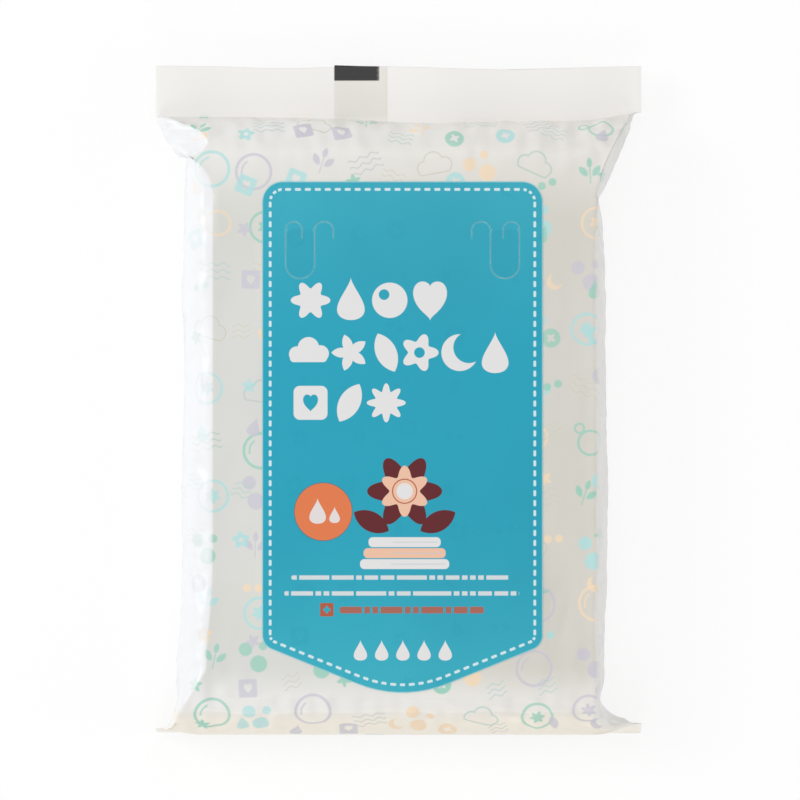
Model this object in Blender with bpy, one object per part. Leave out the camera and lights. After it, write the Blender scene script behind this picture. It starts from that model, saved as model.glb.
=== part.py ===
"""A pack of wet wipes: a film pouch sealed round a stack of folded wipes, with a resealable label.

The pack lies on its back. X runs across it, Y runs from the bottom seal to the top seal, and Z
comes out through the label. The origin is under the middle of the pack, on the surface it lies on.
Lengths are in metres.
"""

import math

import bmesh
import bpy
from mathutils import Vector
from mathutils.geometry import delaunay_2d_cdt

MM = 0.001

# The film tube and the pack it makes
PACK_LENGTH = 190 * MM  # from the cut edge of the top seal to the turn over the bottom end
SEAL_WIDTH = 138 * MM  # the film tube laid flat, as the end seals show it
PACK_THICKNESS = 25 * MM
BODY_LEFT = 61.3 * MM  # from the middle of the seals to each side of the stack of wipes
BODY_RIGHT = 59.3 * MM

# The end seals
TOP_SEAL_DEPTH = 14.5 * MM
BOTTOM_SEAL_DEPTH = 13 * MM
SEAL_THICKNESS = 0.5 * MM
TOP_SEAL_HEIGHT = 9 * MM  # how high the seal stands above the surface under the pack
BOTTOM_SEAL_HEIGHT = 14.2 * MM  # the bottom seal is bent back from here and hangs down
SEAL_WAVE = 0.8 * MM
SEAL_WAVE_LENGTH = 92 * MM
SEAL_WAVE_START = 0.6  # the place in the wave, in radians, at the middle of the pack
RIPPLE_SHARE = 0.4  # a smaller wave on the main one, and how much shorter it is
RIPPLE_RATE = 2.3
BOTTOM_SEAL_WAVE_SHARE = 0.12
BOTTOM_SEAL_SET = 1.12 * MM  # how far the bent seal leans in, before its wave
SEAL_CORNER_RISE = 1.7 * MM  # the lower edge of the top seal rises towards its right corner
SEAL_CORNER_RISE_LENGTH = 15 * MM

# Where the film slopes from the stack to the seals
SHOULDER_LENGTH = 12.5 * MM
SHOULDER_EASE = 0.3  # 0 is a round shoulder, 1 a straight slope
BOTTOM_TURN_LENGTH = 11 * MM
BOTTOM_CREASE_DROP = 4.2 * MM  # from the end of the stack to the crease across the bottom
BOTTOM_CREASE_FALL = 0.9 * MM
BOTTOM_SLOPE_EASE = 0.3  # below the crease, 0 is a straight slope and 1 a round one
BACK_RISE_POWER = 1.6  # how late the back film leaves the surface under the pack
CREASE_FALL_POWER = 1.6
PLEAT_DEPTH = 0.35 * MM
PLEAT_PITCH = 17 * MM
SECOND_PLEAT_SHARE = 0.6  # shallower gathers between the main ones, closer and set off from them
SECOND_PLEAT_RATE = 1.7
SECOND_PLEAT_START = 1.3

# The sides: how much of the side wall shows beside the front, and over what length of the pack
# it opens out below the folded corner
LEFT_WALL = 9 * MM
LEFT_WALL_REACH = 3.6 * MM
RIGHT_WALL = 3.6 * MM
RIGHT_WALL_REACH = 9 * MM
LEFT_LOW_FRONT = 54.2 * MM  # where the front ends near the bottom, from the middle of the seals
RIGHT_LOW_FRONT = 55.4 * MM
LEFT_FLARE = 0.62  # how fast the front widens below the flare's start
RIGHT_FLARE = 0.0
FLARE_START = -76.5 * MM
FLARE_REACH = 20 * MM
BACK_EDGE_ROUND = 7 * MM
SEAL_EDGE_ROUND = 1.5 * MM
LEAST_EDGE_ROUND = 1 * MM
EDGE_GROWTH_POWER = 0.3  # how soon the edge takes its full width as the film leaves a seal
BODY_EDGE_POWER = 1.9  # 2 is an ellipse, 1 the flat wedge of a folded corner
FOLDED_EDGE_POWER = 1.1
WEDGE_RATE = 2.5  # how soon above the pinch the side becomes that wedge

# The corners folded out at the top: how far the film steps in under the seal's corner, how far
# down the pinch below it lies, how far that goes in, and how soon the side comes out again
LEFT_CORNER_STEP = 0.3 * MM
LEFT_PINCH_DROP = 11.6 * MM
LEFT_PINCH_DEPTH = 1.5 * MM
LEFT_PINCH_REACH = 7 * MM
LEFT_CORNER_POWER = 0.48
LEFT_CORNER_FACET = 12.2 * MM  # the widest place of the flat facet in the folded corner
LEFT_FACET_POWER = 0.62  # under 1, the facet keeps its width and ends bluntly
RIGHT_CORNER_STEP = 1.9 * MM
RIGHT_PINCH_DROP = 23.2 * MM
RIGHT_PINCH_DEPTH = 2.8 * MM
RIGHT_PINCH_REACH = 18 * MM
RIGHT_CORNER_POWER = 0.9
RIGHT_CORNER_FACET = 2.6 * MM
RIGHT_FACET_POWER = 0.3

# The corners at the bottom, where the bent seal sticks out past the body
EAR_TILT_LEFT = 1.5 * MM
EAR_TILT_RIGHT = 3 * MM
EAR_LENGTH = 13 * MM
LEFT_EAR_POWER = 0.4  # under 1, the side stays straight and the ear comes out late
RIGHT_EAR_POWER = 0.9
LEFT_DRIFT = 1.5 * MM
RIGHT_DRIFT = -1.1 * MM
DRIFT_REACH = 44 * MM
LEFT_BOTTOM_PINCH = 0.4 * MM
RIGHT_BOTTOM_PINCH = 2 * MM
BOTTOM_PINCH_LENGTH = 3.5 * MM

# The front of the pack
CROWN_ACROSS = 0.045  # the share of the thickness that the edges lie lower than the middle
CROWN_ALONG = 0.03

# The fin seal down the back, folded flat
FIN_WIDTH = 15 * MM
FIN_CENTRE = -10.8 * MM
FIN_THICKNESS = 0.4 * MM
FIN_EDGE = 0.15 * MM
FIN_RAMP = 9 * MM  # the film beside the fin's free edge comes down to the surface over this

# The resealable label and its two slits
LABEL_WIDTH = 79.3 * MM
LABEL_SIDE_LENGTH = 131.2 * MM
LABEL_POINT = 16.1 * MM
LABEL_SHIFT = 1.1 * MM
LABEL_TOP = 33.2 * MM  # from the cut edge of the top seal down to the label
LABEL_CORNER_RADIUS = 5.8 * MM
LABEL_LOW_RADIUS = 4.2 * MM
LABEL_TIP_RADIUS = 34 * MM
LABEL_THICKNESS = 0.25 * MM
LABEL_GAP = 0.3 * MM
SLIT_WIDTH = 0.4 * MM
SLIT_LOOP_LENGTH = 16 * MM
SLIT_OUTER_WIDTH = 13.5 * MM
SLIT_INNER_WIDTH = 8.2 * MM
SLIT_HOOK_LENGTH = 4.6 * MM
SLIT_SIDE_MARGIN = 6.6 * MM
SLIT_TOP_MARGIN = 11.4 * MM
SLIT_BEND_SHARE = 0.48  # the radius of a slit's bends, as a share of the width they turn over

# How finely each stretch is divided
TOP_SEAL_ROWS = 4
SHOULDER_ROWS = 15
BODY_ROWS = 34
ROWS_TOWARDS_ENDS = 0.35  # 0 spaces the rows over the stack evenly, 1 crowds them at its ends
TURN_ROWS = 12
TURN_ROWS_TOWARDS_SEAL = 0.4
BOTTOM_SEAL_ROWS = 4
FRONT_STEPS = 28
BACK_STEPS = 14
EDGE_STEPS = 7
LABEL_GRID = 5 * MM
LABEL_EDGE_CLEARANCE = 1.25 * MM  # no inner point of the label lies closer to a cut edge
ARC_STEP = math.radians(12)

# Worked out from the sizes above
SEAL_HALF = SEAL_WIDTH / 2
TOP_EDGE = PACK_LENGTH / 2
TOP_ROOT = TOP_EDGE - TOP_SEAL_DEPTH
BODY_TOP = TOP_ROOT - SHOULDER_LENGTH
BOTTOM_END = -PACK_LENGTH / 2
BODY_BOTTOM = BOTTOM_END + BOTTOM_TURN_LENGTH
FLAT_DEPTH = SEAL_THICKNESS + FIN_THICKNESS  # the whole seal where the fin passes over it

# Where the cut edge of the top seal and its lower edge sag: middle, half length and depth
CUT_EDGE_SAGS = ((-33 * MM, 14 * MM, 0.75 * MM), (30 * MM, 24 * MM, 1.05 * MM))
ROOT_SAGS = ((20 * MM, 38 * MM, 2.1 * MM),)

# Soft dents in the front: middle, half sizes along and across the dent, turn and depth
FRONT_DENTS = (
    ((49 * MM, -57 * MM), (18 * MM, 6 * MM), math.radians(114), 0.8 * MM),
    ((-48 * MM, 28 * MM), (30 * MM, 7 * MM), math.radians(86), 0.4 * MM),
    ((50 * MM, 20 * MM), (34 * MM, 7 * MM), math.radians(92), 0.5 * MM),
    ((-48 * MM, -50 * MM), (26 * MM, 7 * MM), math.radians(97), 0.45 * MM),
    ((8 * MM, -84 * MM), (46 * MM, 9 * MM), math.radians(-2), 0.4 * MM),
)


def mix(a, b, share):
    return a + (b - a) * share


def smooth(share):
    """Rises smoothly from 0 to 1 as share does."""
    share = min(max(share, 0.0), 1.0)
    return share * share * (3 - 2 * share)


def clear_scene():
    for item in list(bpy.data.objects):
        bpy.data.objects.remove(item, do_unlink=True)


def make_material(name, colour, roughness, metallic=0.0):
    material = bpy.data.materials.new(name)
    material.use_nodes = True
    shader = material.node_tree.nodes["Principled BSDF"]
    shader.inputs["Base Color"].default_value = (*colour, 1.0)
    shader.inputs["Roughness"].default_value = roughness
    shader.inputs["Metallic"].default_value = metallic
    return material


def add_object(name, mesh_data, material):
    mesh = bpy.data.meshes.new(name)
    mesh_data.to_mesh(mesh)
    mesh_data.free()
    mesh.materials.append(material)
    mesh.shade_smooth()
    item = bpy.data.objects.new(name, mesh)
    bpy.context.collection.objects.link(item)
    return item


# The front surface, which the film and the label share


def dent_depth(x, y):
    """How far the soft dents take the front down at this place."""
    depth = 0.0
    for (middle_x, middle_y), (along, across), turn, deepest in FRONT_DENTS:
        dx = x - middle_x
        dy = y - middle_y
        u = (dx * math.cos(turn) + dy * math.sin(turn)) / along
        v = (dy * math.cos(turn) - dx * math.sin(turn)) / across
        depth += deepest * math.exp(-u * u - v * v)
    return depth


def front_height(x, y):
    """The height of the film over the stack of wipes, before its edges round off."""
    across = x / (BODY_LEFT if x < 0 else BODY_RIGHT)
    along = 2 * (y - BODY_BOTTOM) / (BODY_TOP - BODY_BOTTOM) - 1
    crown = CROWN_ACROSS * across**2 + CROWN_ALONG * along**4
    return PACK_THICKNESS * (1 - crown) - dent_depth(x, y)


# The pouch, as rows of points from the top edge to the bottom edge


def sag(x, sags):
    """How far a seal's edge has sagged at x, down the pack."""
    return sum(depth * math.exp(-(((x - middle) / half) ** 2)) for middle, half, depth in sags)


class Side:
    """The sizes that shape one side of the pack, seen from the front."""

    def __init__(self, sign, body, step, drop, depth, reach, power):
        self.sign = sign
        self.body = body
        self.step = step
        self.drop = drop
        self.depth = depth
        self.reach = reach
        self.power = power

    def set_front(self, facet, facet_power, wall, wall_reach, low_front, flare):
        self.facet = facet
        self.facet_power = facet_power
        self.wall = wall
        self.wall_reach = wall_reach
        self.low_front = low_front
        self.flare = flare

    def set_bottom(self, ear_tilt, ear_power, drift, pinch):
        self.ear_tilt = ear_tilt
        self.ear_power = ear_power
        self.drift = drift
        self.pinch = pinch

    def corner_share(self, y):
        """How far up a place lies between the pinch and the seal, from 0 to 1."""
        return min(max((y - TOP_ROOT + self.drop) / self.drop, 0.0), 1.0)

    def top_half(self, y):
        """Half the width: the seal's corner, the pinch below it, then the side wall."""
        pinch_y = TOP_ROOT - self.drop
        if y >= TOP_ROOT:
            return SEAL_HALF
        if y > pinch_y:
            share = (y - pinch_y) / self.drop
            return mix(self.body - self.depth, SEAL_HALF - self.step, share**self.power)
        return self.body - self.depth * math.exp((y - pinch_y) / self.reach)

    def bottom_half(self, y, fullness):
        """The side wall drifts and is pinched before it opens out into the seal's corner."""
        drift = self.drift * smooth((BODY_BOTTOM + DRIFT_REACH - y) / DRIFT_REACH)
        from_pinch = (y - BODY_BOTTOM + BOTTOM_PINCH_LENGTH / 2) / BOTTOM_PINCH_LENGTH
        pinch = self.pinch * math.exp(-from_pinch * from_pinch)
        return mix(SEAL_HALF, self.top_half(y) + drift - pinch, fullness**self.ear_power)

    def folded(self, y, fullness):
        """How far the edge is the flat wedge of a folded corner, from 0 to 1."""
        return smooth(WEDGE_RATE * self.corner_share(y)) if y > 0 else 1 - fullness

    def wall_width(self, y, half):
        """How far in from the outline the front ends: a lobe in the folded corner, then the wall."""
        share = self.corner_share(y)
        if share > 0:
            return self.facet * (4 * share * (1 - share)) ** self.facet_power
        wall = self.wall * (1 - math.exp((y - TOP_ROOT + self.drop) / self.wall_reach))
        front_end = self.low_front + self.flare * max(FLARE_START - y, 0.0)
        return mix(wall, half - front_end, smooth((FLARE_START + FLARE_REACH - y) / FLARE_REACH))


class Row:
    """One closed loop of film. It lies in the plane through X and the line from back to front."""

    def __init__(self, y, front, back, fullness, turn=0.0):
        self.y = y  # where the row counts along the pack
        self.front = Vector((0.0, *front))
        self.back = Vector((0.0, *back))
        self.fullness = fullness  # 1 over the stack, 0 in a seal
        self.turn = turn  # 0 on the front's side of the bottom, 1 in the seal that hangs down
        self.depth = (self.front - self.back).length
        self.outward = (self.front - self.back).normalized()

    def half_width(self, side):
        return side.top_half(self.y) if self.y > 0 else side.bottom_half(self.y, self.fullness)

    def edge_round(self, side):
        """How far in from the outline the front begins to bend down."""
        full = max(side.wall_width(self.y, self.half_width(side)), LEAST_EDGE_ROUND)
        return mix(SEAL_EDGE_ROUND, full, self.fullness**EDGE_GROWTH_POWER)

    def wave(self, x):
        """Lifts the top seal in a gentle wave, and moves the bent bottom seal in and out."""
        phase = 2 * math.pi * x / SEAL_WAVE_LENGTH
        ripple = RIPPLE_SHARE * math.sin(RIPPLE_RATE * phase)
        bend = SEAL_WAVE * (math.sin(phase + SEAL_WAVE_START) + ripple) * (1 - self.fullness)
        if self.y > 0:
            return Vector((0.0, 0.0, bend))
        inward = self.turn * (bend + BOTTOM_SEAL_SET) * BOTTOM_SEAL_WAVE_SHARE
        return Vector((0.0, inward, 0.0))

    def seal_move(self, x):
        """Moves the edges of the top seal along the pack: both sag, and the lower one rises at right."""
        if self.y < 0:
            return Vector()
        slack = 1 - self.fullness
        share = min((TOP_EDGE - self.y) / TOP_SEAL_DEPTH, 1.0)
        rise = SEAL_CORNER_RISE * smooth((x - SEAL_HALF) / SEAL_CORNER_RISE_LENGTH + 1)
        root = (rise - sag(x, ROOT_SAGS)) * slack**2
        cut = -sag(x, CUT_EDGE_SAGS) * slack
        return Vector((0.0, mix(cut, root, share), 0.0))

    def ear(self, x):
        """Tilts the ends of the bent bottom seal, so that the root lies further up the pack."""
        if self.y > 0:
            return Vector()
        tilt = (LEFT if x < 0 else RIGHT).ear_tilt
        reach = smooth((abs(x) - SEAL_HALF + EAR_LENGTH) / EAR_LENGTH)
        return Vector((0.0, tilt * reach * (1 - self.fullness) * (1 - self.turn), 0.0))

    def pleats(self, x):
        """Shallow gathers where the film runs from the stack into a seal."""
        phase = 2 * math.pi * x / PLEAT_PITCH
        second = math.sin(SECOND_PLEAT_RATE * phase + SECOND_PLEAT_START)
        gather = math.sin(phase) + SECOND_PLEAT_SHARE * second
        return PLEAT_DEPTH * gather * 4 * self.fullness * (1 - self.fullness)

    def place(self, x, depth):
        """The point at x across the pack and depth up from the back."""
        at = self.back + self.outward * depth
        at.x = x
        return at + self.wave(x) + self.seal_move(x) + self.ear(x)

    def front_depth(self, x):
        """The front film's depth over the row's back line."""
        fall = PACK_THICKNESS - front_height(x, min(max(self.y, BODY_BOTTOM), BODY_TOP))
        return self.depth - fall * self.fullness**2 + self.pleats(x)

    def back_depth(self, x):
        """The back film's depth: the fin lies lowest, and the film beside it runs down to it."""
        fin_left = FIN_CENTRE - FIN_WIDTH / 2
        fin_right = FIN_CENTRE + FIN_WIDTH / 2
        if fin_left < x < fin_right:
            return 0.0
        beside = smooth(1 - (x - fin_right) / FIN_RAMP) if x >= fin_right else 0.0
        lift = mix(1.0, beside, self.fullness)
        return FIN_THICKNESS * lift

    def edge_points(self, side, front):
        """The round edge from the front or back film out to the middle of the side wall."""
        half = self.half_width(side)
        inset = self.edge_round(side) if front else mix(SEAL_EDGE_ROUND, BACK_EDGE_ROUND, self.fullness)
        start_x = side.sign * (half - inset)
        start = self.front_depth(start_x) if front else self.back_depth(start_x)
        middle = (self.front_depth(start_x) + self.back_depth(start_x)) / 2
        power = 2 / mix(BODY_EDGE_POWER, FOLDED_EDGE_POWER, side.folded(self.y, self.fullness))
        points = []
        for step in range(EDGE_STEPS + 1):
            angle = math.pi / 2 * step / EDGE_STEPS
            out = math.sin(angle) ** power if step else 0.0
            fall = math.cos(angle) ** power if step < EDGE_STEPS else 0.0
            points.append(self.place(start_x + side.sign * inset * out, mix(middle, start, fall)))
        return points

    def loop(self):
        """All points, from the left side over the front to the right side, and back underneath."""
        front_left = self.edge_points(LEFT, True)
        front_right = self.edge_points(RIGHT, True)
        back_left = self.edge_points(LEFT, False)
        back_right = self.edge_points(RIGHT, False)
        front = []
        for step in range(1, FRONT_STEPS):
            x = mix(front_left[0].x, front_right[0].x, step / FRONT_STEPS)
            front.append(self.place(x, self.front_depth(x)))
        back = [self.place(x, self.back_depth(x)) for x in self.back_places(back_right[0].x, back_left[0].x)]
        over = front_left[::-1] + front + front_right
        under = back_right[:-1][::-1] + back + back_left[:-1]
        return over + under

    def back_places(self, right, left):
        """Places across the back from right to left, with a pair of them at each edge of the fin."""
        fin_left = FIN_CENTRE - FIN_WIDTH / 2
        fin_right = FIN_CENTRE + FIN_WIDTH / 2
        places = []
        for start, end, steps in (
            (right, fin_right, BACK_STEPS // 2),
            (fin_right - FIN_EDGE, fin_left + FIN_EDGE, BACK_STEPS // 4),
            (fin_left, left, BACK_STEPS // 2),
        ):
            places += [mix(start, end, step / steps) for step in range(steps + 1)]
        return places[1:-1]


LEFT = Side(
    sign=-1,
    body=BODY_LEFT,
    step=LEFT_CORNER_STEP,
    drop=LEFT_PINCH_DROP,
    depth=LEFT_PINCH_DEPTH,
    reach=LEFT_PINCH_REACH,
    power=LEFT_CORNER_POWER,
)
LEFT.set_front(
    facet=LEFT_CORNER_FACET,
    facet_power=LEFT_FACET_POWER,
    wall=LEFT_WALL,
    wall_reach=LEFT_WALL_REACH,
    low_front=LEFT_LOW_FRONT,
    flare=LEFT_FLARE,
)
LEFT.set_bottom(EAR_TILT_LEFT, LEFT_EAR_POWER, LEFT_DRIFT, LEFT_BOTTOM_PINCH)
RIGHT = Side(
    sign=1,
    body=BODY_RIGHT,
    step=RIGHT_CORNER_STEP,
    drop=RIGHT_PINCH_DROP,
    depth=RIGHT_PINCH_DEPTH,
    reach=RIGHT_PINCH_REACH,
    power=RIGHT_CORNER_POWER,
)
RIGHT.set_front(
    facet=RIGHT_CORNER_FACET,
    facet_power=RIGHT_FACET_POWER,
    wall=RIGHT_WALL,
    wall_reach=RIGHT_WALL_REACH,
    low_front=RIGHT_LOW_FRONT,
    flare=RIGHT_FLARE,
)
RIGHT.set_bottom(EAR_TILT_RIGHT, RIGHT_EAR_POWER, RIGHT_DRIFT, RIGHT_BOTTOM_PINCH)


def top_seal_rows():
    rows = []
    for step in range(TOP_SEAL_ROWS):
        y = mix(TOP_EDGE, TOP_ROOT, step / TOP_SEAL_ROWS)
        back = TOP_SEAL_HEIGHT
        rows.append(Row(y, (y, back + FLAT_DEPTH), (y, back), 0.0))
    return rows


def shoulder_rows():
    rows = []
    for step in range(SHOULDER_ROWS):
        angle = math.pi / 2 * step / SHOULDER_ROWS
        rise = math.sin(angle)
        along = mix(1 - math.cos(angle), step / SHOULDER_ROWS, SHOULDER_EASE)
        y = TOP_ROOT - SHOULDER_LENGTH * along
        back = TOP_SEAL_HEIGHT * (1 - rise)
        front = mix(TOP_SEAL_HEIGHT + FLAT_DEPTH, PACK_THICKNESS, rise)
        rows.append(Row(y, (y, front), (y, back), rise))
    return rows


def body_rows():
    rows = []
    for step in range(BODY_ROWS):
        share = step / BODY_ROWS
        eased = mix(share, (1 - math.cos(math.pi * share)) / 2, ROWS_TOWARDS_ENDS)
        y = mix(BODY_TOP, BODY_BOTTOM, eased)
        rows.append(Row(y, (y, PACK_THICKNESS), (y, 0.0), 1.0))
    return rows


def turn_height(y):
    """The front film bends down at the end of the stack, creases, and slopes to the lower fold."""
    crease_y = BODY_BOTTOM - BOTTOM_CREASE_DROP
    crease_z = PACK_THICKNESS - BOTTOM_CREASE_FALL
    if y > crease_y:
        share = (BODY_BOTTOM - y) / BOTTOM_CREASE_DROP
        return mix(PACK_THICKNESS, crease_z, share**CREASE_FALL_POWER)
    share = (crease_y - y) / (crease_y - BOTTOM_END)
    eased = mix(share, 1 - math.sqrt(1 - share**2), BOTTOM_SLOPE_EASE)
    return mix(crease_z, BOTTOM_SEAL_HEIGHT, eased)


def turn_rows():
    """The bottom end: the front film bends over it, and the back film rises behind the seal."""
    rows = []
    for step in range(TURN_ROWS):
        share = step / TURN_ROWS
        along = mix(share, math.sin(math.pi / 2 * share), TURN_ROWS_TOWARDS_SEAL)
        front_y = BODY_BOTTOM - BOTTOM_TURN_LENGTH * along
        front_z = turn_height(front_y)
        back_y = mix(BODY_BOTTOM, BOTTOM_END + FLAT_DEPTH, share)
        back_z = (BOTTOM_SEAL_HEIGHT - FLAT_DEPTH) * share**BACK_RISE_POWER
        depth = math.hypot(front_y - back_y, front_z - back_z)
        fullness = (depth - FLAT_DEPTH) / (PACK_THICKNESS - FLAT_DEPTH)
        rows.append(Row(front_y, (front_y, front_z), (back_y, back_z), fullness))
    return rows


def bottom_seal_rows():
    rows = []
    for step in range(BOTTOM_SEAL_ROWS + 1):
        share = step / BOTTOM_SEAL_ROWS
        z = BOTTOM_SEAL_HEIGHT - BOTTOM_SEAL_DEPTH * share
        front = (BOTTOM_END, z)
        back = (BOTTOM_END + FLAT_DEPTH, z - FLAT_DEPTH * (1 - share))
        rows.append(Row(BOTTOM_END, front, back, 0.0, share))
    return rows


def build_pouch(material):
    """Skins the rows with quads and closes the two cut ends."""
    rows = top_seal_rows() + shoulder_rows() + body_rows() + turn_rows() + bottom_seal_rows()
    data = bmesh.new()
    loops = [[data.verts.new(point) for point in row.loop()] for row in rows]
    count = len(loops[0])
    for upper, lower in zip(loops, loops[1:]):
        for index in range(count):
            beside = (index + 1) % count
            data.faces.new((upper[index], upper[beside], lower[beside], lower[index]))
    for end in (loops[0], loops[-1]):
        close_end(data, end)
    bmesh.ops.triangulate(data, faces=data.faces)
    bmesh.ops.recalc_face_normals(data, faces=data.faces)
    return add_object("film_pouch", data, material)


def close_end(data, loop):
    """Closes a flat loop with strips between its upper and its lower run."""
    edges = [data.edges.get((a, b)) for a, b in zip(loop, loop[1:] + loop[:1])]
    bmesh.ops.triangle_fill(data, use_beauty=True, edges=edges)


# The label


def rounded_path(corners, closed):
    """Replaces each (x, y, radius) corner by an arc that meets both of its straights."""
    count = len(corners)
    points = []
    for index, (x, y, radius) in enumerate(corners):
        here = Vector((x, y))
        if radius == 0 or (not closed and index in (0, count - 1)):
            points.append(here)
            continue
        before = (Vector(corners[index - 1][:2]) - here).normalized()
        after = (Vector(corners[(index + 1) % count][:2]) - here).normalized()
        half_angle = before.angle(after) / 2
        middle = here + (before + after).normalized() * (radius / math.sin(half_angle))
        start = here + before * (radius / math.tan(half_angle)) - middle
        sweep = math.pi - 2 * half_angle
        turn = -1 if before.cross(after) > 0 else 1
        steps = max(round(sweep / ARC_STEP), 1)
        for step in range(steps + 1):
            angle = turn * sweep * step / steps
            cos = math.cos(angle)
            sin = math.sin(angle)
            points.append(middle + Vector((start.x * cos - start.y * sin, start.x * sin + start.y * cos)))
    return points


def divided(points, longest, closed):
    """Adds points along the long sides, so that the cut edge can follow the film."""
    result = []
    ends = points[1:] + points[:1] if closed else points[1:]
    for a, b in zip(points, ends):
        steps = math.ceil((b - a).length / longest)
        result += [a.lerp(b, step / steps) for step in range(steps)]
    return result if closed else result + [points[-1]]


def label_outline():
    """A rectangle with rounded corners whose lower end comes to a blunt point."""
    left = LABEL_SHIFT - LABEL_WIDTH / 2
    right = LABEL_SHIFT + LABEL_WIDTH / 2
    top = TOP_EDGE - LABEL_TOP
    side_end = top - LABEL_SIDE_LENGTH
    corners = [
        (left, top, LABEL_CORNER_RADIUS),
        (left, side_end, LABEL_LOW_RADIUS),
        (LABEL_SHIFT, side_end - LABEL_POINT, LABEL_TIP_RADIUS),
        (right, side_end, LABEL_LOW_RADIUS),
        (right, top, LABEL_CORNER_RADIUS),
    ]
    return divided(rounded_path(corners, closed=True), LABEL_GRID, closed=True)


def slit_outline(side):
    """A narrow slot along a paperclip shape, which stops a tear as the label is peeled."""
    outer = LABEL_SHIFT + side * (LABEL_WIDTH / 2 - SLIT_SIDE_MARGIN)
    inner = outer - side * SLIT_INNER_WIDTH
    far = outer - side * SLIT_OUTER_WIDTH
    hook = outer - side * SLIT_HOOK_LENGTH
    top = TOP_EDGE - LABEL_TOP - SLIT_TOP_MARGIN
    bottom = top - SLIT_LOOP_LENGTH
    tail = top - SLIT_HOOK_LENGTH
    small = SLIT_HOOK_LENGTH * SLIT_BEND_SHARE
    large = SLIT_INNER_WIDTH * SLIT_BEND_SHARE
    corners = [
        (far, tail, 0),
        (far, top, small),
        (inner, top, small),
        (inner, bottom, large),
        (outer, bottom, large),
        (outer, top, small),
        (hook, top, small),
        (hook, tail, 0),
    ]
    path = divided(rounded_path(corners, closed=False), LABEL_GRID, closed=False)
    near_side = []
    far_side = []
    for index, point in enumerate(path):
        before = path[max(index - 1, 0)]
        after = path[min(index + 1, len(path) - 1)]
        along = (after - before).normalized()
        across = Vector((-along.y, along.x)) * (SLIT_WIDTH / 2)
        near_side.append(point + across)
        far_side.append(point - across)
    return near_side + far_side[::-1]


def inside(point, outline):
    """Whether a point lies in a closed outline, by counting the sides that a ray crosses."""
    found = False
    for a, b in zip(outline, outline[1:] + outline[:1]):
        if (a.y > point.y) != (b.y > point.y):
            crossing = a.x + (point.y - a.y) * (b.x - a.x) / (b.y - a.y)
            found ^= point.x < crossing
    return found


def label_grid(outline, slits):
    """Points over the label, so that it can follow the film. None lies close to a cut edge."""
    right = max(point.x for point in outline)
    left = min(point.x for point in outline)
    top = max(point.y for point in outline)
    bottom = min(point.y for point in outline)
    across = round((right - left) / LABEL_GRID)
    along = round((top - bottom) / LABEL_GRID)
    edges = outline + [point for slit in slits for point in slit]
    grid = []
    for column in range(1, across):
        for row in range(1, along):
            point = Vector((mix(left, right, column / across), mix(bottom, top, row / along)))
            clear = min((point - edge).length for edge in edges) > LABEL_EDGE_CLEARANCE
            if clear and inside(point, outline):
                grid.append(point)
    return grid


def build_label(material):
    """Cuts the label flat, lays it on the front film and gives it its thickness."""
    outline = label_outline()
    slits = [slit_outline(-1), slit_outline(1)]
    points = []
    edges = []
    for ring in (outline, *slits):
        first = len(points)
        points += ring
        edges += [(first + index, first + (index + 1) % len(ring)) for index in range(len(ring))]
    points += label_grid(outline, slits)
    places, _, triangles, *_ = delaunay_2d_cdt(points, edges, [], 0, 1e-7)
    data = bmesh.new()
    corners = [data.verts.new((p.x, p.y, front_height(p.x, p.y) + LABEL_GAP)) for p in places]
    for triangle in triangles:
        centre = sum((places[index] for index in triangle), Vector((0.0, 0.0))) / 3
        if inside(centre, outline) and not any(inside(centre, slit) for slit in slits):
            data.faces.new([corners[index] for index in triangle])
    loose = [corner for corner in corners if not corner.link_faces]
    bmesh.ops.delete(data, geom=loose, context="VERTS")
    bmesh.ops.recalc_face_normals(data, faces=data.faces)
    if sum(face.normal.z for face in data.faces) < 0:
        bmesh.ops.reverse_faces(data, faces=data.faces)
    item = add_object("reseal_label", data, material)
    thickness = item.modifiers.new("thickness", "SOLIDIFY")
    thickness.thickness = LABEL_THICKNESS
    thickness.offset = 1
    return item


clear_scene()
pouch_film = make_material("pouch_film", (0.80, 0.78, 0.74), 0.38)
label_film = make_material("label_film", (0.04, 0.36, 0.48), 0.42)
pouch = build_pouch(pouch_film)
label = build_label(label_film)
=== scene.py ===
# %% [markdown]
# A pack of wet wipes: one sheet of film, made into a tube and sealed at both ends round a stack of
# folded wipes, with a thick resealable label stuck on its front. The construction is already
# there as plain solids. This script gives the pack its looks: film that creases and shines
# softly, a pale print, and a label with its stitched border. The pack lies on its back and the
# camera looks straight down on it.

# %% Load the solids of the pack
import math

import bpy
import numpy as np
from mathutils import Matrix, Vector
from mathutils.geometry import delaunay_2d_cdt


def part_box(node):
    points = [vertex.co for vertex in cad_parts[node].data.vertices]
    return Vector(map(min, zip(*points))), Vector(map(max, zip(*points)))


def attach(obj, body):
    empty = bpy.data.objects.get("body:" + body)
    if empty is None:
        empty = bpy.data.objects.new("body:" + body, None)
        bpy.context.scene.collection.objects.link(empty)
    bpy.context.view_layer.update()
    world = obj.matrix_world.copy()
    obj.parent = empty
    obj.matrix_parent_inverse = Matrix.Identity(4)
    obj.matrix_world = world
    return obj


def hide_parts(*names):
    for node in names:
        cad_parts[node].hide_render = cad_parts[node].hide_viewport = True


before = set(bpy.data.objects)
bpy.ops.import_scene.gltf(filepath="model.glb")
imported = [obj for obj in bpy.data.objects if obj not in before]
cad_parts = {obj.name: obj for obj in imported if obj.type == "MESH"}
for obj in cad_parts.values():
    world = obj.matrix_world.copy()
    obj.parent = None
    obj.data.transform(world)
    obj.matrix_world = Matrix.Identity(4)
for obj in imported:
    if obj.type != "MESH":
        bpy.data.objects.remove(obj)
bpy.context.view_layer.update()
MM = 0.001
pouch_low, pouch_high = (np.array(corner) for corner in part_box("film_pouch"))
label_low, label_high = (np.array(corner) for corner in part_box("reseal_label"))
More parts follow.
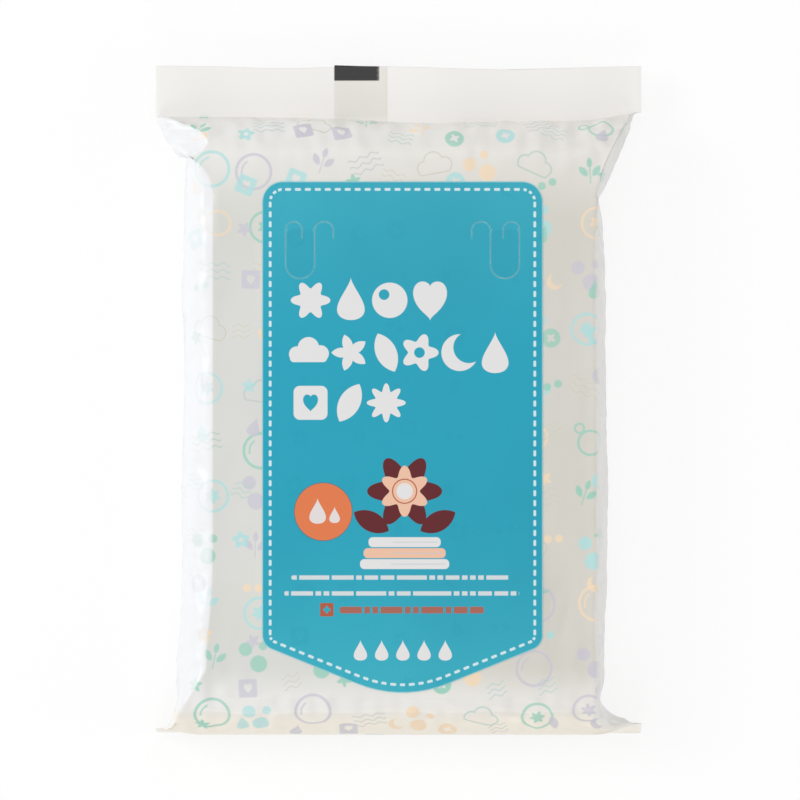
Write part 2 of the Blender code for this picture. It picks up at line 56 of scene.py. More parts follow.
print("pouch", (pouch_high - pouch_low) / MM, "label", (label_high - label_low) / MM)

# %% [markdown]
# The camera comes first. A long lens from far above keeps the pack's outline nearly as flat as in
# a product photograph, so that one pixel is the same length all over the picture.

# %% Look straight down on the pack
PICTURE_WIDTH = 227.5 * MM  # what the square picture spans at the height of the seals
CAMERA_LENS = 450.0
SENSOR_WIDTH = 36.0
AIM = Vector((0.4 * MM, 0.0, 9 * MM))
camera_data = bpy.data.cameras.new("camera")
camera_data.lens = CAMERA_LENS
camera_data.sensor_width = SENSOR_WIDTH
camera_data.clip_end = 20.0
camera = bpy.data.objects.new("camera", camera_data)
bpy.context.collection.objects.link(camera)
camera.location = AIM + Vector((0.0, 0.0, PICTURE_WIDTH * CAMERA_LENS / SENSOR_WIDTH))
bpy.context.scene.camera = camera
print("camera height", round(camera.location.z, 3), "m")

# %% [markdown]
# A material here is written as sums, not drawn as boxes and wires. The small class below holds one
# output of a node. Maths on it adds Math nodes, so a mask such as 1 - edge reads as it would on
# paper. Every other node comes from the one function that makes nodes.


# %% Write shader maths as Python
class Wire:
    """One output of a node, which numbers or other wires can be added to, compared with and so on."""

    def __init__(self, socket):
        self.socket = socket
        self.tree = socket.id_data

    def math(self, operation, *others, clamp=False):
        settings = {"operation": operation, "use_clamp": clamp}
        return make_node(self.tree, "ShaderNodeMath", settings, (self, *others))

    def __add__(self, other):
        return self.math("ADD", other)

    def __sub__(self, other):
        return self.math("SUBTRACT", other)

    def __mul__(self, other):
        return self.math("MULTIPLY", other)

    def __truediv__(self, other):
        return self.math("DIVIDE", other)

    def __rsub__(self, other):
        return make_node(self.tree, "ShaderNodeMath", {"operation": "SUBTRACT"}, (other, self))

    def __neg__(self):
        return self.math("MULTIPLY", -1.0)

    def __abs__(self):
        return self.math("ABSOLUTE")

    __radd__ = __add__
    __rmul__ = __mul__


def make_node(tree, kind, settings=None, values=(), out=0):
    """Adds a node, sets it up, gives its inputs their values or links, and returns an output."""
    node = tree.nodes.new(kind)
    for name, value in (settings or {}).items():
        setattr(node, name, value)
    pairs = values.items() if isinstance(values, dict) else enumerate(values)
    for key, value in pairs:
        if isinstance(value, Wire):
            tree.links.new(value.socket, node.inputs[key])
        else:
            node.inputs[key].default_value = value
    return Wire(node.outputs[out])


def larger(a, b):
    return a.math("MAXIMUM", b)


def smaller(a, b):
    return a.math("MINIMUM", b)


def step_in(distance, soft):
    """1 where a distance is below zero, 0 where it is above, with an edge this soft."""
    return distance.math("MULTIPLY_ADD", -1 / soft, 0.5, clamp=True)


def mix_colours(share, below, above):
    values = {"Factor": share, 6: below, 7: above}
    return make_node(share.tree, "ShaderNodeMix", {"data_type": "RGBA"}, values, out=2)


def in_linear(red, green, blue):
    """A colour as a screen shows it, from 0 to 255, turned into the linear values of a render."""
    parts = []
    for part in (red, green, blue):
        share = part / 255
        parts.append(share / 12.92 if share < 0.04045 else ((share + 0.055) / 1.055) ** 2.4)
    return (*parts, 1.0)


def new_material(name):
    material = bpy.data.materials.new(name)
    material.use_nodes = True
    shader = material.node_tree.nodes["Principled BSDF"]
    return material, shader


# %% [markdown]
# The floor is white and plain. Part of what the camera sees of it is a steady white, so that the
# background stays white, and the rest is an ordinary matt white that takes the pack's soft shadow.
# Four large lamps and a pale sky light the pack: most of the light comes from the left.

# %% Floor and light
FLOOR_SIZE = 6.0
FLOOR_STEADY = 0.8
scene = bpy.context.scene
scene.view_settings.view_transform = "Standard"
floor_mesh = bpy.data.meshes.new("floor")
reach = FLOOR_SIZE / 2
corners = [(-reach, -reach, 0), (reach, -reach, 0), (reach, reach, 0), (-reach, reach, 0)]
floor_mesh.from_pydata(corners, [], [(0, 1, 2, 3)])
floor = bpy.data.objects.new("floor", floor_mesh)
bpy.context.collection.objects.link(floor)

floor_material, floor_shader = new_material("floor_white")
floor_mesh.materials.append(floor_material)
floor_tree = floor_material.node_tree
floor_shader.inputs["Base Color"].default_value = (1.0, 1.0, 1.0, 1.0)
floor_shader.inputs["Roughness"].default_value = 0.9
floor_shader.inputs["Specular IOR Level"].default_value = 0.0
rays = floor_tree.nodes.new("ShaderNodeLightPath").outputs
seen = Wire(rays["Is Camera Ray"]) + Wire(rays["Is Glossy Ray"]) + Wire(rays["Is Transmission Ray"])
glow = make_node(floor_tree, "ShaderNodeEmission", values={"Color": (1.0, 1.0, 1.0, 1.0), "Strength": 1.0})
both = make_node(
    floor_tree,
    "ShaderNodeMixShader",
    values=(seen.math("MULTIPLY", FLOOR_STEADY, clamp=True), Wire(floor_shader.outputs[0]), glow),
)
floor_tree.links.new(both.socket, floor_tree.nodes["Material Output"].inputs["Surface"])

world = bpy.data.worlds.new("sky")
scene.world = world
world.use_nodes = True
sky = world.node_tree.nodes["Background"]
sky.inputs["Color"].default_value = (1.0, 1.0, 1.0, 1.0)
sky.inputs["Strength"].default_value = 0.57


def add_lamp(name, place, size, share):
    """A square area lamp that gives a level white surface this share of its full light."""
    distance = Vector(place).length
    lamp_data = bpy.data.lights.new(name, "AREA")
    lamp_data.size = size
    lamp_data.energy = share * math.pi**2 * distance**3 / place[2]
    lamp = bpy.data.objects.new(name, lamp_data)
    bpy.context.collection.objects.link(lamp)
    lamp.location = place
    lamp.rotation_euler = (-Vector(place)).to_track_quat("-Z", "Y").to_euler()
    return lamp


add_lamp("key_left", (-1.3, 0.45, 0.95), 0.7, 0.2)
add_lamp("fill_top", (0.1, 0.8, 1.5), 1.0, 0.09)
add_lamp("fill_bottom", (-0.1, -1.2, 0.9), 0.8, 0.09)
add_lamp("fill_right", (1.2, -0.2, 0.7), 0.6, 0.05)
print("lamps placed")

# %% [markdown]
# The pouch is skinned like a boat: rows of points run round it, from the top seal to the bottom
# seal, and neighbouring rows are joined. Film doesn't stretch, so a row that is flatter is also
# wider. That is why the corners of a flow-wrapped pack stick out past its body. Each row is
# described by where its front and back lie, by how full it is, and by the shape of its two sides.

# %% Sizes of the pouch
SEAL_HALF = pouch_high[0]
TOP_EDGE = pouch_high[1]
BOTTOM_END = pouch_low[1]
THICKNESS = pouch_high[2]
TOP_SEAL_DEPTH = 14.5 * MM
BOTTOM_SEAL_DEPTH = 13 * MM
SEAL_PLY = 0.25 * MM
TOP_SEAL_HEIGHT = 9 * MM
BOTTOM_SEAL_HEIGHT = 14.2 * MM
SHOULDER_LENGTH = 12.5 * MM
BOTTOM_TURN_LENGTH = 11 * MM
FIN_LEFT = -18.3 * MM
FIN_RIGHT = -3.3 * MM
FIN_THICKNESS = 0.3 * MM
FIN_RAMP = 9 * MM
FLAT_DEPTH = SEAL_PLY + FIN_THICKNESS
TOP_ROOT = TOP_EDGE - TOP_SEAL_DEPTH
BODY_TOP = TOP_ROOT - SHOULDER_LENGTH
BODY_BOTTOM = BOTTOM_END + BOTTOM_TURN_LENGTH
SEAL_EDGE_ROUND = 1.0 * MM
BACK_EDGE_ROUND = 7 * MM
BOTTOM_CREASE_DROP = 4.2 * MM  # from where the front starts to bend down to the crease across it
BOTTOM_CREASE_FALL = 0.9 * MM
BOTTOM_SLOPE_EASE = 0.3  # below the crease, 0 is a straight slope and 1 a round one

SIDES = {
    "left": {
        "sign": -1,
        "body": 61.3 * MM,  # from the middle of the seals to the side wall
        "step": 0.3 * MM,  # how far the film steps in under the seal's corner
        "drop": 11.6 * MM,  # from the seal down to the pinch under its corner
        "pinch": 1.5 * MM,
        "reach": 7 * MM,  # over which the side comes out again below the pinch
        "power": 0.48,  # under 1, the folded corner bulges before it reaches the pinch
        "facet": 12.2 * MM,  # the width of the folded corner, seen from the front
        "facet_power": 0.62,
        "wall": 9 * MM,  # the width of the side wall that shows from the front
        "wall_reach": 3.6 * MM,
        "ear_tilt": 1.5 * MM,
        "ear_power": 0.4,
        "drift": 1.5 * MM,
        "bottom_pinch": 0.4 * MM,
        "front": 54.2 * MM,  # where the front ends near the bottom, and how fast it widens there
        "flare": 0.62,
    },
    "right": {
        "sign": 1,
        "body": 59.3 * MM,
        "step": 1.9 * MM,
        "drop": 23.2 * MM,
        "pinch": 2.8 * MM,
        "reach": 18 * MM,
        "power": 0.9,
        "facet": 2.6 * MM,
        "facet_power": 0.3,
        "wall": 3.6 * MM,
        "wall_reach": 9 * MM,
        "ear_tilt": 3 * MM,
        "ear_power": 0.9,
        "drift": -1.1 * MM,
        "bottom_pinch": 2 * MM,
        "front": 55.4 * MM,
        "flare": 0.0,
    },
}
FLARE_FROM = -76.5 * MM
DRIFT_REACH = 44 * MM
BOTTOM_PINCH_LENGTH = 3.5 * MM
EAR_LENGTH = 13 * MM
BODY_EDGE_POWER = 1.9
FOLDED_EDGE_POWER = 1.1
print("body from", BODY_BOTTOM / MM, "to", BODY_TOP / MM, "mm")

# %% [markdown]
# The front isn't flat. The stack of wipes crowns it a little, and the film has sunk in where the
# stack is slack. The same height is used twice, for the film and for the label stuck on it.


# %% Height of the front
def mix(a, b, share):
    return a + (b - a) * share


def smooth(share):
    share = np.clip(share, 0, 1)
    return share * share * (3 - 2 * share)


CROWN_ACROSS = 0.045
CROWN_ALONG = 0.03
FRONT_DENTS = (
    (49, -57, 18, 6, 114, 0.8),  # middle x and y, half length and width, turn in degrees, depth
    (-48, 28, 30, 7, 86, 0.4),
    (50, 20, 34, 7, 92, 0.5),
    (-48, -50, 26, 7, 97, 0.45),
    (8, -84, 46, 9, -2, 0.4),
)


def front_height(x, y):
    """The film's height over the stack, before its edges round off."""
    body = np.where(x < 0, SIDES["left"]["body"], SIDES["right"]["body"])
    along = 2 * (y - BODY_BOTTOM) / (BODY_TOP - BODY_BOTTOM) - 1
    height = THICKNESS * (1 - CROWN_ACROSS * (x / body) ** 2 - CROWN_ALONG * along**4)
    for middle_x, middle_y, half_long, half_wide, turn, depth in FRONT_DENTS:
        cos, sin = math.cos(math.radians(turn)), math.sin(math.radians(turn))
        dx, dy = x - middle_x * MM, y - middle_y * MM
        u = (dx * cos + dy * sin) / (half_long * MM)
        v = (dy * cos - dx * sin) / (half_wide * MM)
        height = height - depth * MM * np.exp(-u * u - v * v)
    return height


# %% [markdown]
# Each row is one line of a table: its place along the pack, the front and back points of its
# middle, how full it is (1 over the stack, 0 in a seal) and how far it has turned into the bottom
# seal, which is bent back and hangs down behind the pack.


# %% Rows from the top seal to the bottom seal
def station(y, front, back, fullness, turn=0.0):
    return [y, front[0], front[1], back[0], back[1], fullness, turn]


def turn_height(y):
    """The front film bends down at the end of the stack, creases, and slopes to the lower fold."""
    crease_y = BODY_BOTTOM - BOTTOM_CREASE_DROP
    if y > crease_y:
        return THICKNESS - BOTTOM_CREASE_FALL * ((BODY_BOTTOM - y) / BOTTOM_CREASE_DROP) ** 1.6
    share = (crease_y - y) / (crease_y - BOTTOM_END)
    eased = mix(share, 1 - math.sqrt(1 - share**2), BOTTOM_SLOPE_EASE)
    return mix(THICKNESS - BOTTOM_CREASE_FALL, BOTTOM_SEAL_HEIGHT, eased)


def all_stations(seal_rows, shoulder_rows, body_rows, turn_rows, tail_rows):
    rows = []
    for share in np.arange(seal_rows) / seal_rows:
        y = mix(TOP_EDGE, TOP_ROOT, share)
        rows.append(station(y, (y, TOP_SEAL_HEIGHT + FLAT_DEPTH), (y, TOP_SEAL_HEIGHT), 0.0))
    for share in np.arange(shoulder_rows) / shoulder_rows:
        angle = math.pi / 2 * share
        rise = math.sin(angle)
        y = TOP_ROOT - SHOULDER_LENGTH * mix(1 - math.cos(angle), share, 0.3)
        front = (y, mix(TOP_SEAL_HEIGHT + FLAT_DEPTH, THICKNESS, rise))
        rows.append(station(y, front, (y, TOP_SEAL_HEIGHT * (1 - rise)), rise))
    for share in np.arange(body_rows) / body_rows:
        y = mix(BODY_TOP, BODY_BOTTOM, share)
        rows.append(station(y, (y, THICKNESS), (y, 0.0), 1.0))
    for share in np.arange(turn_rows) / turn_rows:
        front_y = BODY_BOTTOM - BOTTOM_TURN_LENGTH * mix(share, math.sin(math.pi / 2 * share), 0.4)
        front = (front_y, turn_height(front_y))
        back_y = mix(BODY_BOTTOM, BOTTOM_END + FLAT_DEPTH, share)
        back = (back_y, (BOTTOM_SEAL_HEIGHT - FLAT_DEPTH) * share**1.6)
        depth = math.dist(front, back)
        fullness = (depth - FLAT_DEPTH) / (THICKNESS - FLAT_DEPTH)
        rows.append(station(front_y, front, back, fullness))
    for share in np.arange(tail_rows + 1) / tail_rows:
        z = BOTTOM_SEAL_HEIGHT - BOTTOM_SEAL_DEPTH * share
        back = (BOTTOM_END + FLAT_DEPTH, z - FLAT_DEPTH * (1 - share))
        rows.append(station(BOTTOM_END, (BOTTOM_END, z), back, 0.0, share))
    return np.array(rows)


rows = all_stations(seal_rows=48, shoulder_rows=44, body_rows=150, turn_rows=34, tail_rows=16)
row_y, fullness, turn = rows[:, 0], rows[:, 5], rows[:, 6]
front_points, back_points = rows[:, 1:3], rows[:, 3:5]
outward = front_points - back_points
row_depth = np.linalg.norm(outward, axis=1)
outward = outward / row_depth[:, None]
print(len(rows), "rows")

# %% [markdown]
# Seen from the front, each side has its own outline. The seal's corner juts out, the film is
# pinched in below it, and the side wall follows. At the bottom the wall drifts a little and then
# opens out into the ear of the bent seal.


# %% Outline of each side
def top_half(side):
    pinch_y = TOP_ROOT - side["drop"]
    share = np.clip((row_y - pinch_y) / side["drop"], 0, 1)
    corner = mix(side["body"] - side["pinch"], SEAL_HALF - side["step"], share ** side["power"])
    wall = side["body"] - side["pinch"] * np.exp(np.minimum(row_y - pinch_y, 0) / side["reach"])
    return np.where(row_y >= TOP_ROOT, SEAL_HALF, np.where(row_y > pinch_y, corner, wall))


def half_width(side):
    drift = side["drift"] * smooth((BODY_BOTTOM + DRIFT_REACH - row_y) / DRIFT_REACH)
    from_pinch = (row_y - BODY_BOTTOM + BOTTOM_PINCH_LENGTH / 2) / BOTTOM_PINCH_LENGTH
    pinch = side["bottom_pinch"] * np.exp(-from_pinch * from_pinch)
    low_half = mix(SEAL_HALF, top_half(side) + drift - pinch, fullness ** side["ear_power"])
    return np.where(row_y < 0, low_half, top_half(side))


def ear_share(side):
    """How far up a row lies between the pinch and the seal, from 0 to 1."""
    return np.clip((row_y - TOP_ROOT + side["drop"]) / side["drop"], 0, 1)


def folded(side):
    """How far the row's edge is the flat wedge of a folded corner, from 0 to 1."""
    return np.where(row_y > 0, smooth(2.5 * ear_share(side)), 1 - fullness)


def front_inset(side):
    """How far in from the outline the front ends: a lobe in the folded corner, then the wall."""
    share = ear_share(side)
    corner = side["facet"] * (4 * share * (1 - share)) ** side["facet_power"]
    below_pinch = np.maximum(TOP_ROOT - side["drop"] - row_y, 0)
    wall = side["wall"] * (1 - np.exp(-below_pinch / side["wall_reach"]))
    flare = side["front"] + side["flare"] * np.maximum(FLARE_FROM - row_y, 0)
    web = np.maximum(half_width(side) - flare, SEAL_EDGE_ROUND)
    low = mix(wall, web, smooth((FLARE_FROM + 20 * MM - row_y) / (20 * MM)))
    inset = np.where(share > 0, corner, np.where(row_y > 0, wall, low))
    return mix(SEAL_EDGE_ROUND, np.maximum(inset, 0.4 * MM), fullness**0.3)


# %% [markdown]
# Now every row gets its points: over the front, round the right edge, back underneath and round the
# left edge. The back fin seal is a flap folded flat on the back, and the film beside it steps up.


# %% Points of every row
FRONT_STEPS = 116
EDGE_STEPS = 16
BACK_STEPS = 44
FIN_STEPS = 12
FIN_EDGE = 0.12 * MM


def front_depth(x):
    """How deep the front film lies over each row's back, for one x or a run of x per row."""
    inside_y = np.clip(row_y, BODY_BOTTOM, BODY_TOP)[:, None]
    fall = THICKNESS - front_height(x, inside_y)
    return row_depth[:, None] - fall * fullness[:, None] ** 2


def back_depth(x):
    in_fin = (x > FIN_LEFT) & (x < FIN_RIGHT)
    beside = np.where(x >= FIN_RIGHT, smooth(1 - (x - FIN_RIGHT) / FIN_RAMP), 0)
    return np.where(in_fin, 0, FIN_THICKNESS * mix(1, beside, fullness[:, None]))


def edge_run(side, on_front):
    """x and depth of the points from the front or back film out to the middle of the side wall."""
    inset = front_inset(side) if on_front else mix(SEAL_EDGE_ROUND, BACK_EDGE_ROUND, fullness)
    start_x = (side["sign"] * (half_width(side) - inset))[:, None]
    top, bottom = front_depth(start_x), back_depth(start_x)
    angle = np.linspace(0, math.pi / 2, EDGE_STEPS + 1)[None, :]
    power = (2 / mix(BODY_EDGE_POWER, FOLDED_EDGE_POWER, folded(side)))[:, None]
    out = np.sin(angle) ** power
    fall = np.maximum(np.cos(angle), 0) ** power
    x = start_x + side["sign"] * inset[:, None] * out
    return x, mix((top + bottom) / 2, top if on_front else bottom, fall)


def between(start, end, steps):
    return start + (end - start) * (np.arange(steps + 1) / steps)[None, :]


left_front_x, left_front_d = edge_run(SIDES["left"], True)
right_front_x, right_front_d = edge_run(SIDES["right"], True)
left_back_x, left_back_d = edge_run(SIDES["left"], False)
right_back_x, right_back_d = edge_run(SIDES["right"], False)
ones = np.ones((len(rows), 1))
front_x = between(left_front_x[:, :1], right_front_x[:, :1], FRONT_STEPS)
under_left_x = between(FIN_LEFT * ones, left_back_x[:, :1], BACK_STEPS)
under_right_x = between(right_back_x[:, :1], FIN_RIGHT * ones, BACK_STEPS)
fin_x = between((FIN_RIGHT - FIN_EDGE) * ones, (FIN_LEFT + FIN_EDGE) * ones, FIN_STEPS)
runs = [
    (under_left_x, back_depth(under_left_x)),
    (left_back_x[:, 1:], left_back_d[:, 1:]),
    (left_front_x[:, -2::-1], left_front_d[:, -2::-1]),
    (front_x[:, 1:], front_depth(front_x[:, 1:])),
    (right_front_x[:, 1:], right_front_d[:, 1:]),
    (right_back_x[:, -2::-1], right_back_d[:, -2::-1]),
    (under_right_x[:, 1:], back_depth(under_right_x[:, 1:])),
    (fin_x, back_depth(fin_x)),
]
grid_x = np.hstack([x for x, _ in runs])
grid_depth = np.hstack([depth for _, depth in runs])
film = np.zeros((*grid_x.shape, 3))
film[:, :, 0] = grid_x
film[:, :, 1:] = back_points[:, None, :] + outward[:, None, :] * grid_depth[:, :, None]
print("film grid", film.shape)

# %% [markdown]
# The seals aren't ruled straight. The top seal waves gently, its lower edge rises towards both
# corners, and the bent bottom seal is tilted at its ends, which form the two ears.

# %% Bend the seals
SEAL_WAVE = 0.8 * MM
SEAL_WAVE_LENGTH = 92 * MM
EDGE_SAGS = ((-33, 14, 0.75), (30, 24, 1.05))  # in mm: middle, half length and depth
ROOT_SAGS = ((20, 38, 2.1),)
ROOT_RISE = 1.7 * MM
ROOT_RISE_LENGTH = 15 * MM
FIN_STICKS_OUT = 0.5 * MM
RIB_PITCH = 1.3 * MM
RIB_HEIGHT = 0.01 * MM


def sag(x, sags):
    return -sum(depth * MM * np.exp(-(((x / MM - middle) / half) ** 2)) for middle, half, depth in sags)


slack = 1 - fullness[:, None]
on_top = (row_y > 0)[:, None]
phase = 2 * math.pi * grid_x / SEAL_WAVE_LENGTH
wave = SEAL_WAVE * (np.sin(phase + 0.6) + 0.4 * np.sin(2.3 * phase)) * slack
film[:, :, 2] += np.where(on_top, wave, 0)
film[:, :, 1] += np.where(on_top, 0, turn[:, None] * 0.12 * (wave + 1.4 * SEAL_WAVE))
from_edge_share = np.clip((TOP_EDGE - row_y) / TOP_SEAL_DEPTH, 0, 1)[:, None]
root_move = sag(grid_x, ROOT_SAGS) + ROOT_RISE * smooth((grid_x - SEAL_HALF) / ROOT_RISE_LENGTH + 1)
film[:, :, 1] += on_top * slack**2 * from_edge_share * root_move
film[:, :, 1] += on_top * slack * (1 - from_edge_share) * sag(grid_x, EDGE_SAGS)
for name, side in SIDES.items():
    reach_in = smooth((side["sign"] * grid_x - SEAL_HALF + EAR_LENGTH) / EAR_LENGTH)
    film[:, :, 1] += np.where(on_top, 0, side["ear_tilt"] * reach_in * slack * (1 - turn[:, None]))
in_fin = (grid_x > FIN_LEFT) & (grid_x < FIN_RIGHT) & (grid_depth < row_depth[:, None] / 2)
fin_share = np.clip((FIN_RIGHT - grid_x[0]) / (FIN_RIGHT - FIN_LEFT), 0, 1)
film[0, :, 1] += np.where(in_fin[0], FIN_STICKS_OUT * fin_share**2, 0)
rib = RIB_HEIGHT * np.sin(2 * math.pi * row_y / RIB_PITCH) * (row_y > TOP_ROOT + RIB_PITCH)
film[:, :, 2] += rib[:, None]
print("top edge", film[0, :, 1].min() / MM, film[0, :, 1].max() / MM)

# %% [markdown]
# The print needs to know where each point lies on the film before it was wrapped. The length round
# the row gives u, from the middle of the front, and the length down the middle of the front gives
# v, from the top edge. Both are measured before the film is creased.


# %% Unroll the film
on_front = grid_depth > row_depth[:, None] / 2
body_row = len(rows) // 2
root_row = int(np.argmin(np.abs(row_y - TOP_ROOT)))
front_run = on_front[body_row]


def at_middle(values):
    """The value of every row where it crosses the middle of the front."""
    pairs = zip(grid_x[:, front_run], values[:, front_run])
    return np.array([np.interp(0, x, value) for x, value in pairs])


steps_round = np.linalg.norm(np.diff(film, axis=1), axis=2)
round_film = np.hstack([np.zeros((len(rows), 1)), np.cumsum(steps_round, axis=1)])
film_u = round_film - at_middle(round_film)[:, None]
middle_line = np.stack([at_middle(film[:, :, 1]), at_middle(film[:, :, 2])], axis=1)
steps_down = np.linalg.norm(np.diff(middle_line, axis=0), axis=1)
middle_v = np.concatenate([[0], np.cumsum(steps_down)]) + TOP_EDGE - middle_line[0, 0]
film_v = middle_v[:, None] + np.zeros(grid_x.shape)
girth = round_film[:, -1] + np.linalg.norm(film[:, 0] - film[:, -1], axis=1)
print("girth at the seal and the body", girth[0] / MM, girth[body_row] / MM)

# %% [markdown]
# Film remembers every fold. A crease is a sharp little ridge or valley that fades out at both ends,
# and it may be steeper on one side than on the other. The ones that show from the front are placed
# by x and y, as one would point at them, and they push the film out or in along its surface.


# %% Crease the front
def surface_normals(points):
    along = np.gradient(points, axis=0)
    wrapped = np.concatenate([points[:, -1:], points, points[:, :1]], axis=1)
    around = wrapped[:, 2:] - wrapped[:, :-2]
    normal = np.cross(along, around)
    return normal / np.maximum(np.linalg.norm(normal, axis=2, keepdims=True), 1e-12)


def crease(a, b, start, end, height, left_width, right_width, sharp=0.75):
    """A fold from one place to another in mm. Its left is on the left hand when going along it."""
    dx, dy = end[0] - start[0], end[1] - start[1]
    length = math.hypot(dx, dy)
    x, y = a / MM - start[0], b / MM - start[1]
    along = (x * dx + y * dy) / length**2
    off = (y * dx - x * dy) / length
    taper = np.clip(4 * along * (1 - along), 0, 1) ** 0.7
    width = np.where(off > 0, left_width, right_width)
    return height * MM * taper * np.exp(-((np.abs(off) / width) ** (2 - sharp)))


FRONT_CREASES = (
    # The folded corner at the top left, its edge, and the dart that runs in from the pinch
    ((-69, 80.3), (-51, 74.2), 0.5, 1.5, 2.5),
    ((-62, 68.4), (-49, 76.2), -0.8, 1.6, 1.6),
    ((-61, 69.5), (-50.5, 61.5), 0.5, 1.2, 3.0),
    ((-51.6, 64), (-51.0, 44), 0.35, 1.5, 1.2),
    ((-53.2, 60.5), (-52.2, 54), -0.35, 0.7, 0.7),
    # The long folded corner at the top right
    ((67, 79.8), (55.2, 56.5), 0.5, 2.2, 1.2),
    ((63, 78.5), (53, 61), -0.45, 2.0, 1.8),
    ((64.5, 79.6), (45, 64), 0.5, 1.6, 3.0),
    ((57, 79.0), (38, 69), -0.3, 2.2, 2.2),
    # Where the film leaves the seal
    ((-28, 75.3), (-16, 75.1), -0.22, 0.5, 0.9),
    ((-2, 78.2), (44, 79.2), 0.25, 0.8, 1.4),
    # The edge of the front on both sides
    ((55.2, 62), (55.3, -20), 0.3, 1.0, 1.6),
    ((55.6, 10), (55.0, -82), 0.35, 1.1, 1.4),
    ((57.2, -48), (57.0, -66), -0.3, 0.6, 0.8),
    ((-52.2, 40), (-53.2, -30), 0.22, 2.0, 1.6),
    ((-53.3, -10), (-54.4, -78), 0.3, 1.6, 1.4),
    # Soft dents near the lower right corner
    ((41, -62), (47, -50), -0.35, 2.2, 3.2),
    ((44.5, -73), (50, -52), -0.45, 2.4, 1.6),
    ((47.5, -77), (52.5, -66), 0.3, 1.6, 1.6),
    # Across the bottom: the end of the stack and the crease below it
    ((-56, -83.0), (6, -84.2), 0.2, 1.6, 1.2),
    ((-12, -84.0), (53, -84.6), 0.25, 1.8, 1.2),
    ((-62, -89.0), (54, -88.3), 0.28, 1.4, 1.0),
    # The lower corners
    ((-53.5, -74), (-64, -91.5), 0.5, 1.6, 2.4),
    ((-59, -70), (-63.5, -86), -0.5, 1.2, 1.8),
    ((-57, -72), (-60.5, -79), 0.35, 0.9, 0.9),
    ((46, -84.2), (53.5, -86.5), 0.35, 1.2, 1.2),
    ((50.5, -85.2), (54.6, -92.5), -0.5, 1.0, 1.2),
    ((55.2, -78), (55.4, -93), 0.5, 1.4, 0.9),
    ((56.5, -84), (65, -91.5), 0.6, 1.2, 1.4),
    ((57.5, -87), (62, -92.8), -0.5, 1.0, 1.0),
)
facing_front = smooth((grid_depth / row_depth[:, None] - 0.42) / 0.2)
push = np.zeros(grid_x.shape)
for start, end, height, left_width, right_width in FRONT_CREASES:
    push += crease(film[:, :, 0], film[:, :, 1], start, end, height, left_width, right_width) * facing_front

# %% [markdown]
# Nobody could name each of the smaller folds. They come from random fields: a sum of waves in all
# directions gives soft hills, and its absolute value gives hills parted by sharp valleys, as in
# film that has been handled. Fixed seeds keep the pack the same on every run.


# %% Crumple the rest
def soft_field(a, b, wavelength, seed, waves=14, stretch=1.0):
    """Soft random hills of about this size, of unit height. Stretch above 1 draws them out along b."""
    rng = np.random.default_rng(seed)
    total = np.zeros(a.shape)
    for _ in range(waves):
        angle = rng.uniform(0, 2 * math.pi)
        number = 2 * math.pi / (wavelength * rng.uniform(0.7, 1.5))
        phase = rng.uniform(0, 2 * math.pi)
        total += np.cos(number * (a * math.cos(angle) + b * math.sin(angle) / stretch) + phase)
    return total / math.sqrt(waves / 2)


def sharp_field(a, b, wavelength, seed, stretch=1.0):
    return 0.8 - np.abs(soft_field(a, b, wavelength, seed, stretch=stretch))


u, v = film_u / MM, film_v / MM
from_root = v - TOP_SEAL_DEPTH / MM
front_end = smooth((np.abs(u) - 50) / 8)
shoulder_zone = smooth(from_root / 3) * (1 - smooth((from_root - 10) / 22))
bottom_zone = smooth((-70 - film[:, :, 1] / MM) / 12)
side_zone = front_end * (1 - smooth((np.abs(u) - 82) / 8))
push += 0.30 * MM * side_zone * sharp_field(u, v, 13, seed=4, stretch=3.0)
push += 0.16 * MM * side_zone * sharp_field(u, v, 6, seed=5, stretch=1.6)
push += 0.22 * MM * shoulder_zone * sharp_field(u, v, 12, seed=6, stretch=2.2)
push += 0.13 * MM * (shoulder_zone + bottom_zone) * soft_field(u, v, 5.5, seed=8, stretch=2.0)
push += 0.16 * MM * bottom_zone * sharp_field(u, v, 12, seed=9, stretch=0.6)
push += 0.14 * MM * soft_field(u, v, 30, seed=10, stretch=1.5)
push += 0.07 * MM * sharp_field(u, v, 15, seed=11, stretch=1.4)
under = smooth((np.abs(u) - 88) / 6)
push += 0.25 * MM * under * sharp_field(u, v, 16, seed=12)
label_margin = 2 * MM
in_label_x = smooth((label_high[0] - film_u) / label_margin + 1)
in_label_x = in_label_x * smooth((film_u - label_low[0]) / label_margin + 1)
in_label_y = smooth((label_high[1] - row_y) / label_margin + 1)
in_label_y = in_label_y * smooth((row_y - label_low[1]) / label_margin + 1)
push *= 1 - in_label_x * in_label_y[:, None] * on_front
push *= smooth(fullness * 5)[:, None]
film = film + surface_normals(film) * push[:, :, None]
film[:, :, 2] = np.maximum(film[:, :, 2], 0)
print("deepest fold", push.min() / MM, "highest", push.max() / MM)

# %% [markdown]
# The points become a mesh: a quad between each four neighbours, and a many-sided face over each cut
# end. A map is stored with it that holds the place on the unrolled film in millimetres, for the
# print.


# %% Skin the film
def grid_faces(row_count, column_count):
    first = np.arange(row_count - 1)[:, None] * column_count
    column = np.arange(column_count)[None, :]
    beside = (column + 1) % column_count
    below = first + column_count
    quads = np.stack([first + column, first + beside, below + beside, below + column], axis=2)
    return quads.reshape(-1, 4)


row_count, column_count = grid_x.shape
quads = grid_faces(row_count, column_count)
faces = quads.tolist()
last_row = (row_count - 1) * column_count
faces.append(list(range(column_count))[::-1])
faces.append(list(range(last_row, last_row + column_count)))
pouch_mesh = bpy.data.meshes.new("pouch_skin")
pouch_mesh.from_pydata(film.reshape(-1, 3).tolist(), [], faces)

